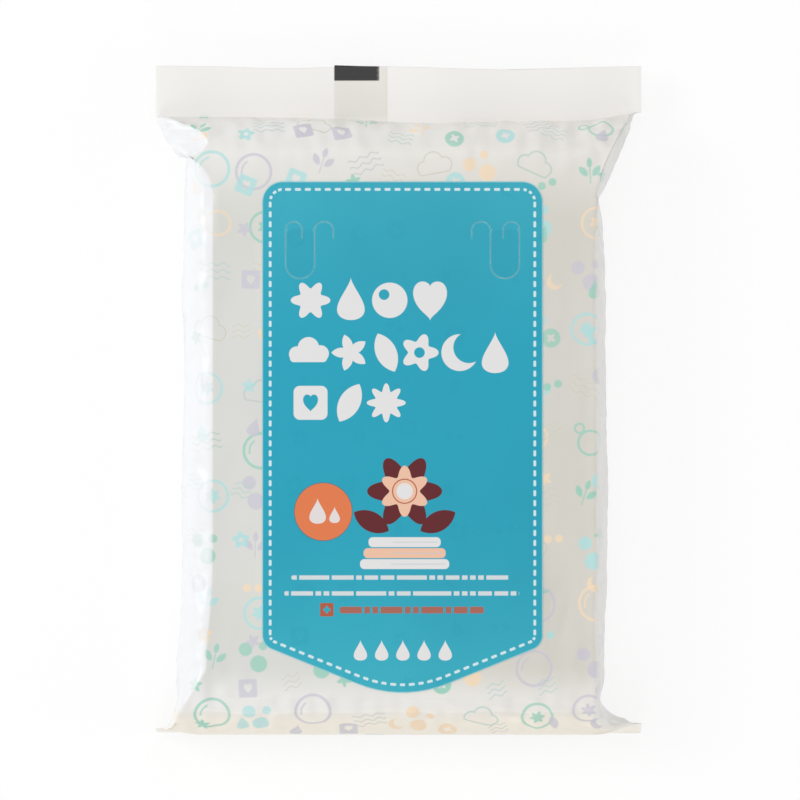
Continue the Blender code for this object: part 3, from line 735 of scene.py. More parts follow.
corner_vertices = np.empty(len(pouch_mesh.loops), np.int32)
pouch_mesh.loops.foreach_get("vertex_index", corner_vertices)
loop_u = film_u.reshape(-1)[corner_vertices]
loop_v = film_v.reshape(-1)[corner_vertices]
quad_u = loop_u[: 4 * len(quads)].reshape(-1, 4)
seam = quads[:, 0] % column_count == column_count - 1
girths = np.repeat(girth[:-1], column_count)
quad_u[seam, 1:3] += girths[seam, None]
loop_u[: 4 * len(quads)] = quad_u.reshape(-1)
film_map = pouch_mesh.uv_layers.new(name="film_mm")
film_map.data.foreach_set("uv", np.stack([loop_u / MM, loop_v / MM], axis=1).reshape(-1))
pouch_mesh.validate()
pouch_mesh.shade_smooth()

# %% [markdown]
# Where the film touches the moist wipes it looks a little darker. Where it spans air it is painted
# lighter: partly its own milky white, partly painted light that shines through it. Three numbers are
# stored at every point: how free the film is of the stack, how much of the side wall it is, which is
# painted lit on the left and shaded on the right, and how far it lies in the bend at the bottom,
# which gets a painted warm reflection.

# %% Mark where the film is free of the wipes
STACK_TOP = (48 * MM, 75 * MM)  # over these stretches the film comes free of the stack
STACK_BOTTOM = (-74 * MM, -86 * MM)
FREE_IN_FRONT = 0.62


def in_front_of(side):
    """1 within the front's edge on this side and 0 beyond it."""
    edge = (half_width(side) - front_inset(side))[:, None]
    return smooth((edge - side["sign"] * grid_x) / (0.8 * MM) + 1)


inside_x = in_front_of(SIDES["left"]) * in_front_of(SIDES["right"])
inside_y = smooth((STACK_TOP[1] - row_y) / (STACK_TOP[1] - STACK_TOP[0]))
inside_y = inside_y * smooth((row_y - STACK_BOTTOM[1]) / (STACK_BOTTOM[0] - STACK_BOTTOM[1]))
touching = inside_x * mix(1 - FREE_IN_FRONT, 1, inside_y)[:, None] * (fullness > 0)[:, None]
touching = touching * np.where(on_front, 1, 0.5)
wall = (1 - inside_x) * smooth(fullness * 4)[:, None]
# The bend at the bottom, which gets a painted warm reflection.
bend_reflection = smooth((BODY_BOTTOM - 2.5 * MM - film[:, :, 1]) / (5 * MM))
web_low = smooth((-91.2 * MM - film[:, :, 1]) / (0.6 * MM))
bend_reflection = np.where(grid_x > 55 * MM, bend_reflection * web_low, bend_reflection) * mix(0.35, 1, inside_x)
for name, values in (("free", 1 - touching), ("wall", wall), ("bend_reflection", bend_reflection)):
    layer = pouch_mesh.attributes.new(name, "FLOAT", "POINT")
    layer.data.foreach_set("value", values.reshape(-1))
pouch = bpy.data.objects.new("pouch_skin", pouch_mesh)
bpy.context.collection.objects.link(pouch)
print("pouch", len(pouch_mesh.vertices), "vertices")

# %% [markdown]
# The film is printed with small pale pictures. Each is a distance sum: below zero inside the shape,
# above zero outside. x runs to the right and y runs up, both in millimetres. The same shapes serve
# for the label later.


# %% Small shapes for the print
def length_of(x, y):
    joined = make_node(x.tree, "ShaderNodeCombineXYZ", values=(x, y))
    return make_node(x.tree, "ShaderNodeVectorMath", {"operation": "LENGTH"}, (joined,), out="Value")


def turned(x, y, degrees):
    cos, sin = math.cos(math.radians(degrees)), math.sin(math.radians(degrees))
    return x * cos + y * sin, y * cos - x * sin


def disc(x, y, radius):
    return length_of(x, y) - radius


def ring(x, y, radius, half_line):
    return abs(disc(x, y, radius)) - half_line


def rounded_box(x, y, half_x, half_y, radius):
    over_x = larger(abs(x) - (half_x - radius), 0.0)
    over_y = larger(abs(y) - (half_y - radius), 0.0)
    return length_of(over_x, over_y) - radius


def without(shape, hole):
    return larger(shape, -hole)


def joined_shapes(*shapes):
    total = shapes[0]
    for shape in shapes[1:]:
        total = smaller(total, shape)
    return total


def drop(x, y, size):
    """A drop with its tip up: across it, the half width is (1 - t) sqrt(1 - t²), with t from -1 to 1."""
    t = y / size
    inside_t = larger(smaller(t, 1.0), -1.0)
    half = (1 - inside_t * inside_t).math("SQRT") * (1 - inside_t) * (0.5 * size)
    return larger(abs(x) - half, abs(y) - size)


def blossom(x, y, size, petals):
    around = y.math("ARCTAN2", x) * petals
    return length_of(x, y) - around.math("COSINE").math("MULTIPLY_ADD", 0.2 * size, 0.8 * size)


def star(x, y, size, points):
    around = (y.math("ARCTAN2", x) * (points / (2 * math.pi)) + 0.5).math("FRACT")
    return length_of(x, y) - (abs(around - 0.5)).math("MULTIPLY_ADD", 1.1 * size, 0.42 * size)


def leaf(x, y, size):
    """The space that two circles share, pointing up."""
    return length_of(abs(x) + 0.75 * size, y) - 1.25 * size


def heart(x, y, size):
    lift = (abs(x) * size).math("SQRT") * 0.62
    return length_of(x, y - lift + 0.2 * size) - 0.92 * size


def crescent(x, y, size):
    return without(disc(x, y, size), disc(x - 0.5 * size, y - 0.28 * size, 0.85 * size))


def cloud(x, y, size):
    puffs = joined_shapes(
        disc(x, y - 0.25 * size, 0.55 * size),
        disc(x + 0.6 * size, y + 0.08 * size, 0.4 * size),
        disc(x - 0.62 * size, y + 0.05 * size, 0.43 * size),
    )
    return joined_shapes(puffs, rounded_box(x, y + 0.22 * size, 0.95 * size, 0.27 * size, 0.2 * size))


def ripples(x, y, half_long, gap, half_line):
    """Three short waves one over another."""
    wavy = y + (x * 1.9).math("SINE") * 0.4
    line = abs(wavy.math("WRAP", gap / 2, -gap / 2)) - half_line
    return larger(larger(line, abs(x) - half_long), abs(wavy) - 1.45 * gap)


def sprig(x, y, size):
    leaf_x, leaf_y = turned(abs(x) - 0.75 * size, y, -38)
    stem = rounded_box(x, y + 0.55 * size, 0.07 * size, 0.85 * size, 0.05 * size)
    return joined_shapes(leaf(leaf_x, leaf_y, 0.72 * size), stem, leaf(x, y - 0.95 * size, 0.6 * size))


def bubble(x, y, radius):
    shine = larger(ring(x, y, 0.68 * radius, 0.05 * radius), x + 0.2 * radius)
    return joined_shapes(ring(x, y, radius, 0.08 * radius), larger(shine, -y))


def three_discs(x, y):
    return joined_shapes(disc(x + 2.8, y - 1.6, 1.9), disc(x - 2.2, y - 2.4, 1.2), disc(x - 0.8, y + 2.6, 2.4))


# %% [markdown]
# One cell of the print holds one picture. A random number for the cell picks which, another its
# colour, and two more push it a little off the middle and tilt it. Two such layers overlap half a
# cell apart, so that the rows don't show.

# %% Scatter the shapes over the film
MINT = in_linear(150, 210, 190)
AQUA = in_linear(176, 226, 226)
PEACH = in_linear(246, 221, 188)
LILAC = in_linear(205, 202, 214)
SAGE = in_linear(186, 202, 196)
PRINT_COLOURS = ((0.0, MINT), (0.32, AQUA), (0.56, PEACH), (0.78, LILAC))
PRINT_EDGE = 0.42
LARGE_PITCH = 15.5
SMALL_PITCH = 14.2


def palette(pick):
    node = pick.tree.nodes.new("ShaderNodeValToRGB")
    ramp = node.color_ramp
    ramp.interpolation = "CONSTANT"
    while len(ramp.elements) < len(PRINT_COLOURS):
        ramp.elements.new(1.0)
    for element, (place, colour) in zip(ramp.elements, PRINT_COLOURS):
        element.position = place
        element.color = colour
    pick.tree.links.new(pick.socket, node.inputs[0])
    return Wire(node.outputs[0])


def random_of(x, y, seed):
    """Three random numbers for a cell, as wires."""
    cell = make_node(x.tree, "ShaderNodeCombineXYZ", values=(x, y, float(seed)))
    noise = make_node(x.tree, "ShaderNodeTexWhiteNoise", {"noise_dimensions": "3D"}, (cell,), out="Color")
    parts = make_node(x.tree, "ShaderNodeSeparateColor", values=(noise,)).socket.node.outputs
    return [Wire(part) for part in parts]


def print_layer(x, y, pitch, shift, seed, shapes):
    """The mask and the colour of one layer of small pictures. Shapes in sage are thin lines."""
    column = (x / pitch + shift).math("FLOOR")
    row = (y / pitch + shift).math("FLOOR")
    kind, hue, sway = random_of(column, row, seed)
    move_x, move_y, _ = random_of(column, row, seed + 1)
    local_x = x - (column + 0.5 - shift) * pitch - (move_x - 0.5) * (0.3 * pitch)
    local_y = y - (row + 0.5 - shift) * pitch - (move_y - 0.5) * (0.3 * pitch)
    angle = (sway - 0.5) * 0.9
    cos, sin = angle.math("COSINE"), angle.math("SINE")
    local_x, local_y = local_x * cos + local_y * sin, local_y * cos - local_x * sin
    mask = None
    sage = None
    for index, (shape, is_sage) in enumerate(shapes):
        middle = (index + 0.5) / len(shapes)
        chosen = step_in(abs(kind - middle) - 0.5 / len(shapes), 1e-4)
        part = step_in(shape(local_x, local_y), PRINT_EDGE) * chosen
        mask = part if mask is None else mask + part
        if is_sage:
            sage = part if sage is None else sage + part
    return mask, mix_colours(sage, palette(hue), SAGE)


LARGE_SHAPES = (
    (lambda x, y: bubble(x, y, 4.9), False),
    (lambda x, y: ripples(x, y, 4.6, 1.9, 0.17), True),
    (lambda x, y: sprig(x, y, 2.5), False),
    (lambda x, y: joined_shapes(ring(x, y, 4.3, 0.36), blossom(x, y, 2.2, 6)), False),
    (lambda x, y: abs(cloud(x, y, 4.8)) - 0.2, True),
    (lambda x, y: joined_shapes(ring(x - 1.2, y, 3.4, 0.32), ring(x + 3.2, y - 2.6, 1.3, 0.28)), False),
    (lambda x, y: three_discs(x, y), False),
)
SMALL_SHAPES = (
    (lambda x, y: without(rounded_box(x, y, 2.6, 2.6, 0.6), heart(x, y, 1.25)), False),
    (lambda x, y: without(disc(x, y, 2.7), star(x, y, 1.5, 4)), False),
    (lambda x, y: without(blossom(x, y, 2.5, 5), disc(x, y, 0.7)), False),
    (lambda x, y: crescent(x, y, 2.3), False),
    (lambda x, y: ripples(x, y, 3.4, 1.6, 0.15), True),
    (lambda x, y: star(x, y, 2.3, 5), False),
    (lambda x, y: leaf(x, y, 2.6), False),
    (lambda x, y: drop(x, y, 2.7), False),
    (lambda x, y: joined_shapes(disc(x + 1.6, y, 1.1), disc(x - 1.6, y, 1.1)), False),
    (lambda x, y: ripples(x, y, 2.6, 1.6, 0.15), True),
)

# %% [markdown]
# The film is milky with a satin shine. Its seals carry no print. The flap of the back seal shows
# through the top seal as a darker band, and so does the grey mark by which a packing machine finds
# where to cut. The mark itself is nearly black and lies on the back.

# %% Finish of the film
# Film over air: its own milky white, painted lighter still for light that shines through it.
MILKY_FILM_PAINTED_GLOW = in_linear(246, 244, 241)
FILM_ON_WIPES = in_linear(224, 223, 219)
TONE_LEFT = in_linear(250, 252, 251)
TONE_RIGHT = in_linear(246, 243, 237)
# Side walls: milky film, painted lit on the left and painted shaded on the right.
WALL_LEFT_PAINTED_LIT = in_linear(239, 241, 243)
WALL_RIGHT_PAINTED_SHADE = in_linear(232, 231, 228)
# Painted warm reflection for the bend at the bottom, which faces down towards the floor.
WARM_REFLECTION_PAINT = in_linear(250, 242, 226)
FIN_SHOW = in_linear(226, 222, 212)
MARK_SHOW = in_linear(200, 199, 194)
MARK = in_linear(52, 51, 52)
MARK_RIGHT = -5.5
MARK_LENGTH = 4.2
film_material, film_shader = new_material("pouch_film")
film_tree = film_material.node_tree


def parts_of(vector):
    node = make_node(vector.tree, "ShaderNodeSeparateXYZ", values=(vector,)).socket.node
    return [Wire(part) for part in node.outputs]


def attribute(tree, name):
    return make_node(tree, "ShaderNodeAttribute", {"attribute_name": name}, out="Fac")


def noise_at(place, scale, detail):
    return make_node(place.tree, "ShaderNodeTexNoise", values={"Vector": place, "Scale": scale, "Detail": detail})


def bump_of(height, strength, distance):
    values = {"Strength": strength, "Distance": distance, "Height": height}
    return make_node(height.tree, "ShaderNodeBump", values=values)


def between_values(value, low, high, soft):
    return step_in(low - value, soft) * step_in(value - high, soft)


u, v, _ = parts_of(make_node(film_tree, "ShaderNodeUVMap", {"uv_map": "film_mm"}))
place = make_node(film_tree, "ShaderNodeTexCoord", out="Object")
x, y, z = (part * (1 / MM) for part in parts_of(place))
free, wall_share, bend_reflection_share = (attribute(film_tree, name) for name in ("free", "wall", "bend_reflection"))
mottle = noise_at(place, 34.0, 3.0)
patches = noise_at(place, 13.0, 2.0)
touch = free + (mottle - 0.5) * 0.45 * (1 - free)
# Darker over the wipes and lighter over air: partly real, partly painted light shining through the free film.
base = mix_colours(touch, FILM_ON_WIPES, MILKY_FILM_PAINTED_GLOW)
tone = mix_colours((x / 110 + patches * 1.6 - 0.3).math("MINIMUM", 1.0), TONE_LEFT, TONE_RIGHT)
multiply = {"data_type": "RGBA", "blend_type": "MULTIPLY"}
base = make_node(film_tree, "ShaderNodeMix", multiply, {"Factor": 1.0 - free, 6: base, 7: tone}, out=2)
# Painted light and shade on the side walls: lighter on the left wall, darker on the right.
wall_painted_light = mix_colours((x / 20 + 0.5).math("MINIMUM", 1.0), WALL_LEFT_PAINTED_LIT, WALL_RIGHT_PAINTED_SHADE)
base = mix_colours(wall_share * 0.9, base, wall_painted_light)
# Painted warm reflection in the bottom bend.
base = mix_colours(bend_reflection_share * 0.8, base, WARM_REFLECTION_PAINT)
large_mask, large_colour = print_layer(u, -v, LARGE_PITCH, 0.0, 3, LARGE_SHAPES)
small_mask, small_colour = print_layer(u, -v, SMALL_PITCH, 0.5, 11, SMALL_SHAPES)
seal_at = float(middle_v[root_row]) / MM
film_end = float(middle_v[-1] - BOTTOM_SEAL_DEPTH) / MM
ink = step_in(seal_at - v, 0.3) * step_in(v - film_end, 0.3) * (1 - 0.78 * wall_share)
ink = ink * (0.55 + mottle * 0.5)
coloured = mix_colours(large_mask * ink, base, large_colour)
coloured = mix_colours(small_mask * ink, coloured, small_colour)

fin_left, fin_right = FIN_LEFT / MM, FIN_RIGHT / MM
in_seal = step_in(TOP_ROOT / MM - 1 - y, 3.0)
over_fin = between_values(x, fin_left, fin_right, 0.5) * in_seal
fin_edge = step_in(abs(x - fin_right) - 0.25, 0.4) * in_seal
coloured = mix_colours(over_fin * 0.6 + fin_edge * 0.3, coloured, FIN_SHOW)
in_mark = between_values(x, fin_left, MARK_RIGHT, 0.3) * step_in(TOP_EDGE / MM - MARK_LENGTH - y, 0.3)
coloured = mix_colours(in_mark * 0.6, coloured, MARK_SHOW)
seal_back = TOP_SEAL_HEIGHT / MM + 0.12
is_back = step_in(z - seal_back - 0.4, 0.2)
cut_end = step_in(TOP_EDGE / MM + 0.04 - y, 0.05)
coloured = mix_colours(in_mark * larger(is_back * step_in(z - 10.2, 0.3), cut_end), coloured, MARK)
film_tree.links.new(coloured.socket, film_shader.inputs["Base Color"])

grain = noise_at(place, 260.0, 2.0)
film_shader.inputs["Specular IOR Level"].default_value = 0.5
film_tree.links.new((0.26 + mottle * 0.2).socket, film_shader.inputs["Roughness"])
film_bump = bump_of(grain, 0.25, 0.12 * MM)
film_tree.links.new(film_bump.socket, film_shader.inputs["Normal"])
pouch_mesh.materials.append(film_material)
print("film material", len(film_tree.nodes), "nodes")

# %% [markdown]
# The label is a separate, thicker sheet. Its outline is a rectangle with rounded corners whose lower
# end comes to a blunt point. Two slits shaped like paperclips are cut through it near the top: they
# stop a tear when the label is peeled back. It is cut flat and then laid on the film.

# %% Outline of the label
LABEL_CORNER_RADIUS = 5.8 * MM
LABEL_LOW_RADIUS = 4.2 * MM
LABEL_TIP_RADIUS = 34 * MM
LABEL_POINT = 16.1 * MM
LABEL_GAP = 0.05 * MM
LABEL_THICKNESS = 0.11 * MM
ARC_STEP = math.radians(5)
label_mid = (label_low[0] + label_high[0]) / 2
label_half = (label_high[0] - label_low[0]) / 2
label_top = label_high[1]


def rounded_path(corners, closed):
    """Replaces each (x, y, radius) corner by an arc that meets both of its straights."""
    count = len(corners)
    points = []
    for index, (x, y, radius) in enumerate(corners):
        here = Vector((x, y))
        if radius == 0 or (not closed and index in (0, count - 1)):
            points.append(here)
            continue
        before = (Vector(corners[index - 1][:2]) - here).normalized()
        after = (Vector(corners[(index + 1) % count][:2]) - here).normalized()
        half_angle = before.angle(after) / 2
        middle = here + (before + after).normalized() * (radius / math.sin(half_angle))
        start = here + before * (radius / math.tan(half_angle)) - middle
        sweep = math.pi - 2 * half_angle
        hand = -1 if before.cross(after) > 0 else 1
        steps = max(round(sweep / ARC_STEP), 1)
        for step in range(steps + 1):
            angle = hand * sweep * step / steps
            cos, sin = math.cos(angle), math.sin(angle)
            points.append(middle + Vector((start.x * cos - start.y * sin, start.x * sin + start.y * cos)))
    return points


def label_ring(inset):
    """The label's outline, moved in from its edge."""
    left, right = label_mid - label_half + inset, label_mid + label_half - inset
    top = label_top - inset
    tilt = math.atan2(LABEL_POINT, label_half)
    tip = label_low[1] - LABEL_TIP_RADIUS * (1 / math.cos(tilt) - 1) + inset / math.cos(tilt)
    side_end = tip + (right - label_mid) * math.tan(tilt)
    radius = LABEL_CORNER_RADIUS - inset
    low_radius = max(LABEL_LOW_RADIUS - inset, 0.6 * MM)
    corners = [
        (label_mid, top, 0),
        (left, top, radius),
        (left, side_end, low_radius),
        (label_mid, tip, LABEL_TIP_RADIUS - inset),
        (right, side_end, low_radius),
        (right, top, radius),
    ]
    return rounded_path(corners, closed=True)


def divided(points, longest, closed):
    """Adds points along the long sides, so that the sheet can follow the film."""
    result = []
    ends = points[1:] + points[:1] if closed else points[1:]
    for a, b in zip(points, ends):
        steps = max(math.ceil((b - a).length / longest), 1)
        result += [a.lerp(b, step / steps) for step in range(steps)]
    return result if closed else result + [points[-1]]


# %% Slits of the label
SLIT_WIDTH = 0.13 * MM
SLIT_LOOP_LENGTH = 16 * MM
SLIT_OUTER_WIDTH = 13.5 * MM
SLIT_INNER_WIDTH = 8.2 * MM
SLIT_HOOK_LENGTH = 4.6 * MM
SLIT_SIDE_MARGIN = 6.6 * MM
SLIT_TOP_MARGIN = 11.4 * MM


def slit_path(side):
    outer = label_mid + side * (label_half - SLIT_SIDE_MARGIN)
    inner = outer - side * SLIT_INNER_WIDTH
    far = outer - side * SLIT_OUTER_WIDTH
    hook = outer - side * SLIT_HOOK_LENGTH
    top = label_top - SLIT_TOP_MARGIN
    bottom = top - SLIT_LOOP_LENGTH
    tail = top - SLIT_HOOK_LENGTH
    small, large = SLIT_HOOK_LENGTH * 0.48, SLIT_INNER_WIDTH * 0.48
    corners = [
        (far, tail, 0),
        (far, top, small),
        (inner, top, small),
        (inner, bottom, large),
        (outer, bottom, large),
        (outer, top, small),
        (hook, top, small),
        (hook, tail, 0),
    ]
    return rounded_path(corners, closed=False)


def slit_ring(side):
    path = divided(slit_path(side), 2 * MM, closed=False)
    near_side, far_side = [], []
    for index, point in enumerate(path):
        along = (path[min(index + 1, len(path) - 1)] - path[max(index - 1, 0)]).normalized()
        across_path = Vector((-along.y, along.x)) * (SLIT_WIDTH / 2)
        near_side.append(point + across_path)
        far_side.append(point - across_path)
    return near_side + far_side[::-1]


# %% [markdown]
# The sheet is filled with triangles by Delaunay's rule. Rings of points just inside the cut edge
# carry two numbers for the print: how far a place lies from the edge, and how far along it. With
# those, the stitched border is simply a row of dashes that follows the outline.

# %% Cut the label
BORDER_RINGS = (0.0, 0.3, 1.7, 2.1, 2.5, 2.9, 4.2)  # in mm from the cut edge
LABEL_GRID = 1.6 * MM


def inside(points, outline):
    """Which points lie in a closed outline, by counting the sides that a ray crosses."""
    found = np.zeros(len(points), bool)
    a = np.array([tuple(p) for p in outline])
    b = np.roll(a, -1, axis=0)
    for (ax, ay), (bx, by) in zip(a, b):
        if ay == by:
            continue
        crosses = (ay > points[:, 1]) != (by > points[:, 1])
        found ^= crosses & (points[:, 0] < ax + (points[:, 1] - ay) * (bx - ax) / (by - ay))
    return found


def nearest_on(outline, points):
    """Distance from each point to a closed outline, and the length along it to the nearest place."""
    a = np.array([tuple(p) for p in outline])
    b = np.roll(a, -1, axis=0)
    side = b - a
    length = np.linalg.norm(side, axis=1)
    start = np.concatenate([[0], np.cumsum(length)[:-1]])
    best = np.full(len(points), np.inf)
    run = np.zeros(len(points))
    for index in np.flatnonzero(length > 0):
        offset = points - a[index]
        t = np.clip(offset @ side[index] / length[index] ** 2, 0, 1)
        distance = np.linalg.norm(offset - t[:, None] * side[index], axis=1)
        closer = distance < best
        best[closer] = distance[closer]
        run[closer] = start[index] + t[closer] * length[index]
    return best, run


outline = divided(label_ring(0.0), LABEL_GRID, closed=True)
slits = [slit_ring(-1), slit_ring(1)]
label_points = []
label_edges = []
for ring_points in (outline, *slits):
    first = len(label_points)
    count = len(ring_points)
    label_points += ring_points
    label_edges += [(first + index, first + (index + 1) % count) for index in range(count)]
for inset in BORDER_RINGS[1:]:
    label_points += divided(label_ring(inset * MM), LABEL_GRID, closed=True)
columns = np.arange(label_low[0], label_high[0], LABEL_GRID)
lines = np.arange(label_low[1], label_high[1], LABEL_GRID)
candidates = np.array([(x, y) for x in columns for y in lines])
deep = nearest_on(outline, candidates)[0] > (BORDER_RINGS[-1] + 0.8) * MM
clear = np.min([nearest_on(slit, candidates)[0] for slit in slits], axis=0) > 0.5 * MM
kept = candidates[inside(candidates, outline) & deep & clear]
label_points += [Vector(point) for point in kept]
flat, _, triangles, *_ = delaunay_2d_cdt(label_points, label_edges, [], 0, 1e-7)
flat = np.array([tuple(p) for p in flat])
triangles = np.array(triangles)
centres = flat[triangles].mean(axis=1)
wanted = inside(centres, outline) & ~inside(centres, slits[0]) & ~inside(centres, slits[1])
triangles = triangles[wanted]
a, b, c = (flat[triangles[:, corner]] for corner in range(3))
area = (b - a)[:, 0] * (c - a)[:, 1] - (b - a)[:, 1] * (c - a)[:, 0]
triangles = triangles[np.abs(area) > 1e-12]
used, triangles = np.unique(triangles, return_inverse=True)
triangles = triangles.reshape(-1, 3)
flat = flat[used]
print("label sheet", len(flat), "points", len(triangles), "triangles")

# %% Lay the label on the film
height = front_height(flat[:, 0], flat[:, 1]) + LABEL_GAP
label_mesh = bpy.data.meshes.new("label_sheet")
label_mesh.from_pydata(np.column_stack([flat, height]).tolist(), [], triangles.tolist())
if label_mesh.polygons[0].normal.z < 0:
    label_mesh.flip_normals()
from_edge, run_along = nearest_on(outline, flat)
label_length = float(np.sum([(q - p).length for p, q in zip(outline, outline[1:] + outline[:1])]))
corner_vertices = np.empty(len(label_mesh.loops), np.int32)
label_mesh.loops.foreach_get("vertex_index", corner_vertices)
runs_of_face = run_along[corner_vertices].reshape(-1, 3)
behind = runs_of_face < runs_of_face.max(axis=1)[:, None] - label_length / 2
runs_of_face = np.where(behind, runs_of_face + label_length, runs_of_face)
border_map = label_mesh.uv_layers.new(name="border_mm")
border_places = np.stack([runs_of_face.reshape(-1), from_edge[corner_vertices]], axis=1) / MM
border_map.data.foreach_set("uv", border_places.reshape(-1))
label_mesh.shade_smooth()

edge_count = np.zeros(len(label_mesh.edges), np.int32)
edge_of_loop = np.empty(len(label_mesh.loops), np.int32)
label_mesh.loops.foreach_get("edge_index", edge_of_loop)
np.add.at(edge_count, edge_of_loop, 1)
for index in np.flatnonzero(edge_count == 1):
    label_mesh.edges[index].use_edge_sharp = True
label = bpy.data.objects.new("label_sheet", label_mesh)
bpy.context.collection.objects.link(label)
thickness = label.modifiers.new("thickness", "SOLIDIFY")
thickness.thickness = LABEL_THICKNESS
thickness.offset = 1
print("stitched border", round(label_length / MM), "mm round")

# %% [markdown]
# The label's print has simple fields: a stitched border, three rows of chunky white shapes, an
# orange disc, a big flower over a stack of folded wipes, and thin bars. The ground is teal, with a
# painted sheen that makes it a little lighter at both ends. The film's own print shows through it very faintly.

# %% Ground and border of the label
TEAL = in_linear(16, 163, 189)
# A lighter teal for the painted sheen towards both ends.
TEAL_ENDS_SHEEN = in_linear(52, 176, 196)
TEAL_UNDER = in_linear(10, 148, 174)
EDGE_LIGHT = in_linear(166, 218, 226)
WHITE_INK = in_linear(230, 229, 229)
STITCH = in_linear(212, 234, 238)
SLIT_LINE = in_linear(96, 190, 206)
DASH_PITCH = 2.82
DASH_HALF = 0.85
label_material, label_shader = new_material("label_film")
label_tree = label_material.node_tree
run_wire, edge_wire, _ = parts_of(make_node(label_tree, "ShaderNodeUVMap", {"uv_map": "border_mm"}))
label_place = make_node(label_tree, "ShaderNodeTexCoord", out="Object")
label_x, label_y, _ = (part * (1 / MM) for part in parts_of(label_place))
label_x = label_x - float(label_mid) / MM
# Painted sheen: the teal is lighter towards both ends of the label.
along = abs(label_y + 8.0) / 70.0
ground = mix_colours(larger(along * along - 0.1, 0.0), TEAL, TEAL_ENDS_SHEEN)
blotch = noise_at(label_place, 22.0, 2.0)
ground = mix_colours((blotch - 0.45) * 1.2, ground, TEAL_UNDER)
film_zero = float(middle_v[body_row] + row_y[body_row]) / MM
under_mask, _ = print_layer(label_x, label_y - film_zero, SMALL_PITCH, 0.5, 11, SMALL_SHAPES)
ground = mix_colours(under_mask * 0.16, ground, TEAL_UNDER)

dash_count = round(label_length / MM / DASH_PITCH)
dash_pitch = label_length / MM / dash_count
dash_x = ((run_wire / dash_pitch).math("FRACT") - 0.5) * dash_pitch
stitches = rounded_box(dash_x, edge_wire - 2.25, DASH_HALF, 0.38, 0.3)
label_colour = mix_colours(step_in(stitches, 0.2), ground, STITCH)
label_colour = mix_colours(step_in(edge_wire - 0.22, 0.2) * 0.8, label_colour, EDGE_LIGHT)


def paint(colour, shape, ink_colour, strength=1.0, soft=0.16):
    return mix_colours(step_in(shape, soft) * strength, colour, ink_colour)


# %% Pale lines beside the slits
slit_outer = float(label_half - SLIT_SIDE_MARGIN) / MM
slit_top = float(label_top - SLIT_TOP_MARGIN) / MM
loop_width, hook_width = SLIT_INNER_WIDTH / MM, SLIT_HOOK_LENGTH / MM
loop_long = SLIT_LOOP_LENGTH / MM
slit_x = abs(label_x) - slit_outer
loop_y = label_y - slit_top + loop_long / 2
loop = rounded_box(slit_x + loop_width / 2, loop_y, loop_width / 2, loop_long / 2, 0.48 * loop_width)
ARCH_WIDTHS = (
    (slit_x + hook_width / 2, hook_width / 2),
    (slit_x + (loop_width + SLIT_OUTER_WIDTH / MM) / 2, (SLIT_OUTER_WIDTH / MM - loop_width) / 2),
)
below_bends = label_y - slit_top + 0.5 * hook_width
slit_lines = larger(abs(loop), below_bends)
for arch_x, half_wide in ARCH_WIDTHS:
    arch = abs(rounded_box(arch_x, below_bends + 0.5 * hook_width, half_wide, hook_width, half_wide * 0.96))
    slit_lines = smaller(slit_lines, larger(arch, -below_bends - 0.5 * hook_width))
label_colour = mix_colours(step_in(loop, 0.5) * step_in(below_bends, 0.5) * 0.22, label_colour, TEAL_UNDER)
label_colour = paint(label_colour, slit_lines - 0.24, SLIT_LINE, 0.6, 0.3)

# %% Three rows of white shapes
TITLE_ROWS = (
    # height on the pack, then each shape with its place across the label
    (28.2, (
        (-26.0, lambda x, y: blossom(x, y, 5.6, 6)),
        (-14.6, lambda x, y: drop(x, y - 0.4, 6.0)),
        (-3.6, lambda x, y: without(disc(x, y, 5.0), disc(x + 1.6, y - 1.6, 1.5))),
        (7.8, lambda x, y: heart(x, y, 5.2)),
    )),
    (13.4, (
        (-26.6, lambda x, y: cloud(x, y, 5.5)),
        (-14.8, lambda x, y: star(x, y, 5.5, 5)),
        (-4.6, lambda x, y: leaf(*turned(x, y, 24), 5.9)),
        (4.8, lambda x, y: without(blossom(x, y, 5.4, 5), disc(x, y, 1.5))),
        (16.2, lambda x, y: crescent(x, y, 5.2)),
        (26.2, lambda x, y: drop(x, y, 5.8)),
    )),
    (-0.8, (
        (-26.0, lambda x, y: without(rounded_box(x, y, 4.8, 4.8, 1.8), heart(x, y, 2.3))),
        (-15.0, lambda x, y: leaf(*turned(x, y, -28), 6.0)),
        (-4.6, lambda x, y: blossom(x, y, 5.5, 8)),
    )),
)
title = None
for row_height, row_shapes in TITLE_ROWS:
    for place_x, shape in row_shapes:
        part = shape(label_x - place_x, label_y - row_height)
        title = part if title is None else smaller(title, part)
label_colour = paint(label_colour, title, WHITE_INK)

# %% Flower, folded wipes and orange disc
ORANGE = in_linear(228, 122, 72)
DARK_RED = in_linear(96, 16, 24)
SKIN_PEACH = in_linear(240, 194, 166)
FOLD_GREY = in_linear(196, 204, 210)
RUST = in_linear(178, 88, 58)
flower_x, flower_y = label_x - 0.6, label_y + 25.8
label_colour = paint(label_colour, leaf(*turned(flower_x + 9.4, flower_y + 8.6, 62), 5.6), DARK_RED)
label_colour = paint(label_colour, leaf(*turned(flower_x - 9.4, flower_y + 8.6, -62), 5.6), DARK_RED)
label_colour = paint(label_colour, blossom(flower_x, flower_y, 10.6, 6), DARK_RED)
label_colour = paint(label_colour, blossom(*turned(flower_x, flower_y, 30), 7.2, 6), SKIN_PEACH)
label_colour = paint(label_colour, ring(flower_x, flower_y, 3.4, 0.16), RUST)
label_colour = paint(label_colour, disc(flower_x, flower_y, 2.3), WHITE_INK)
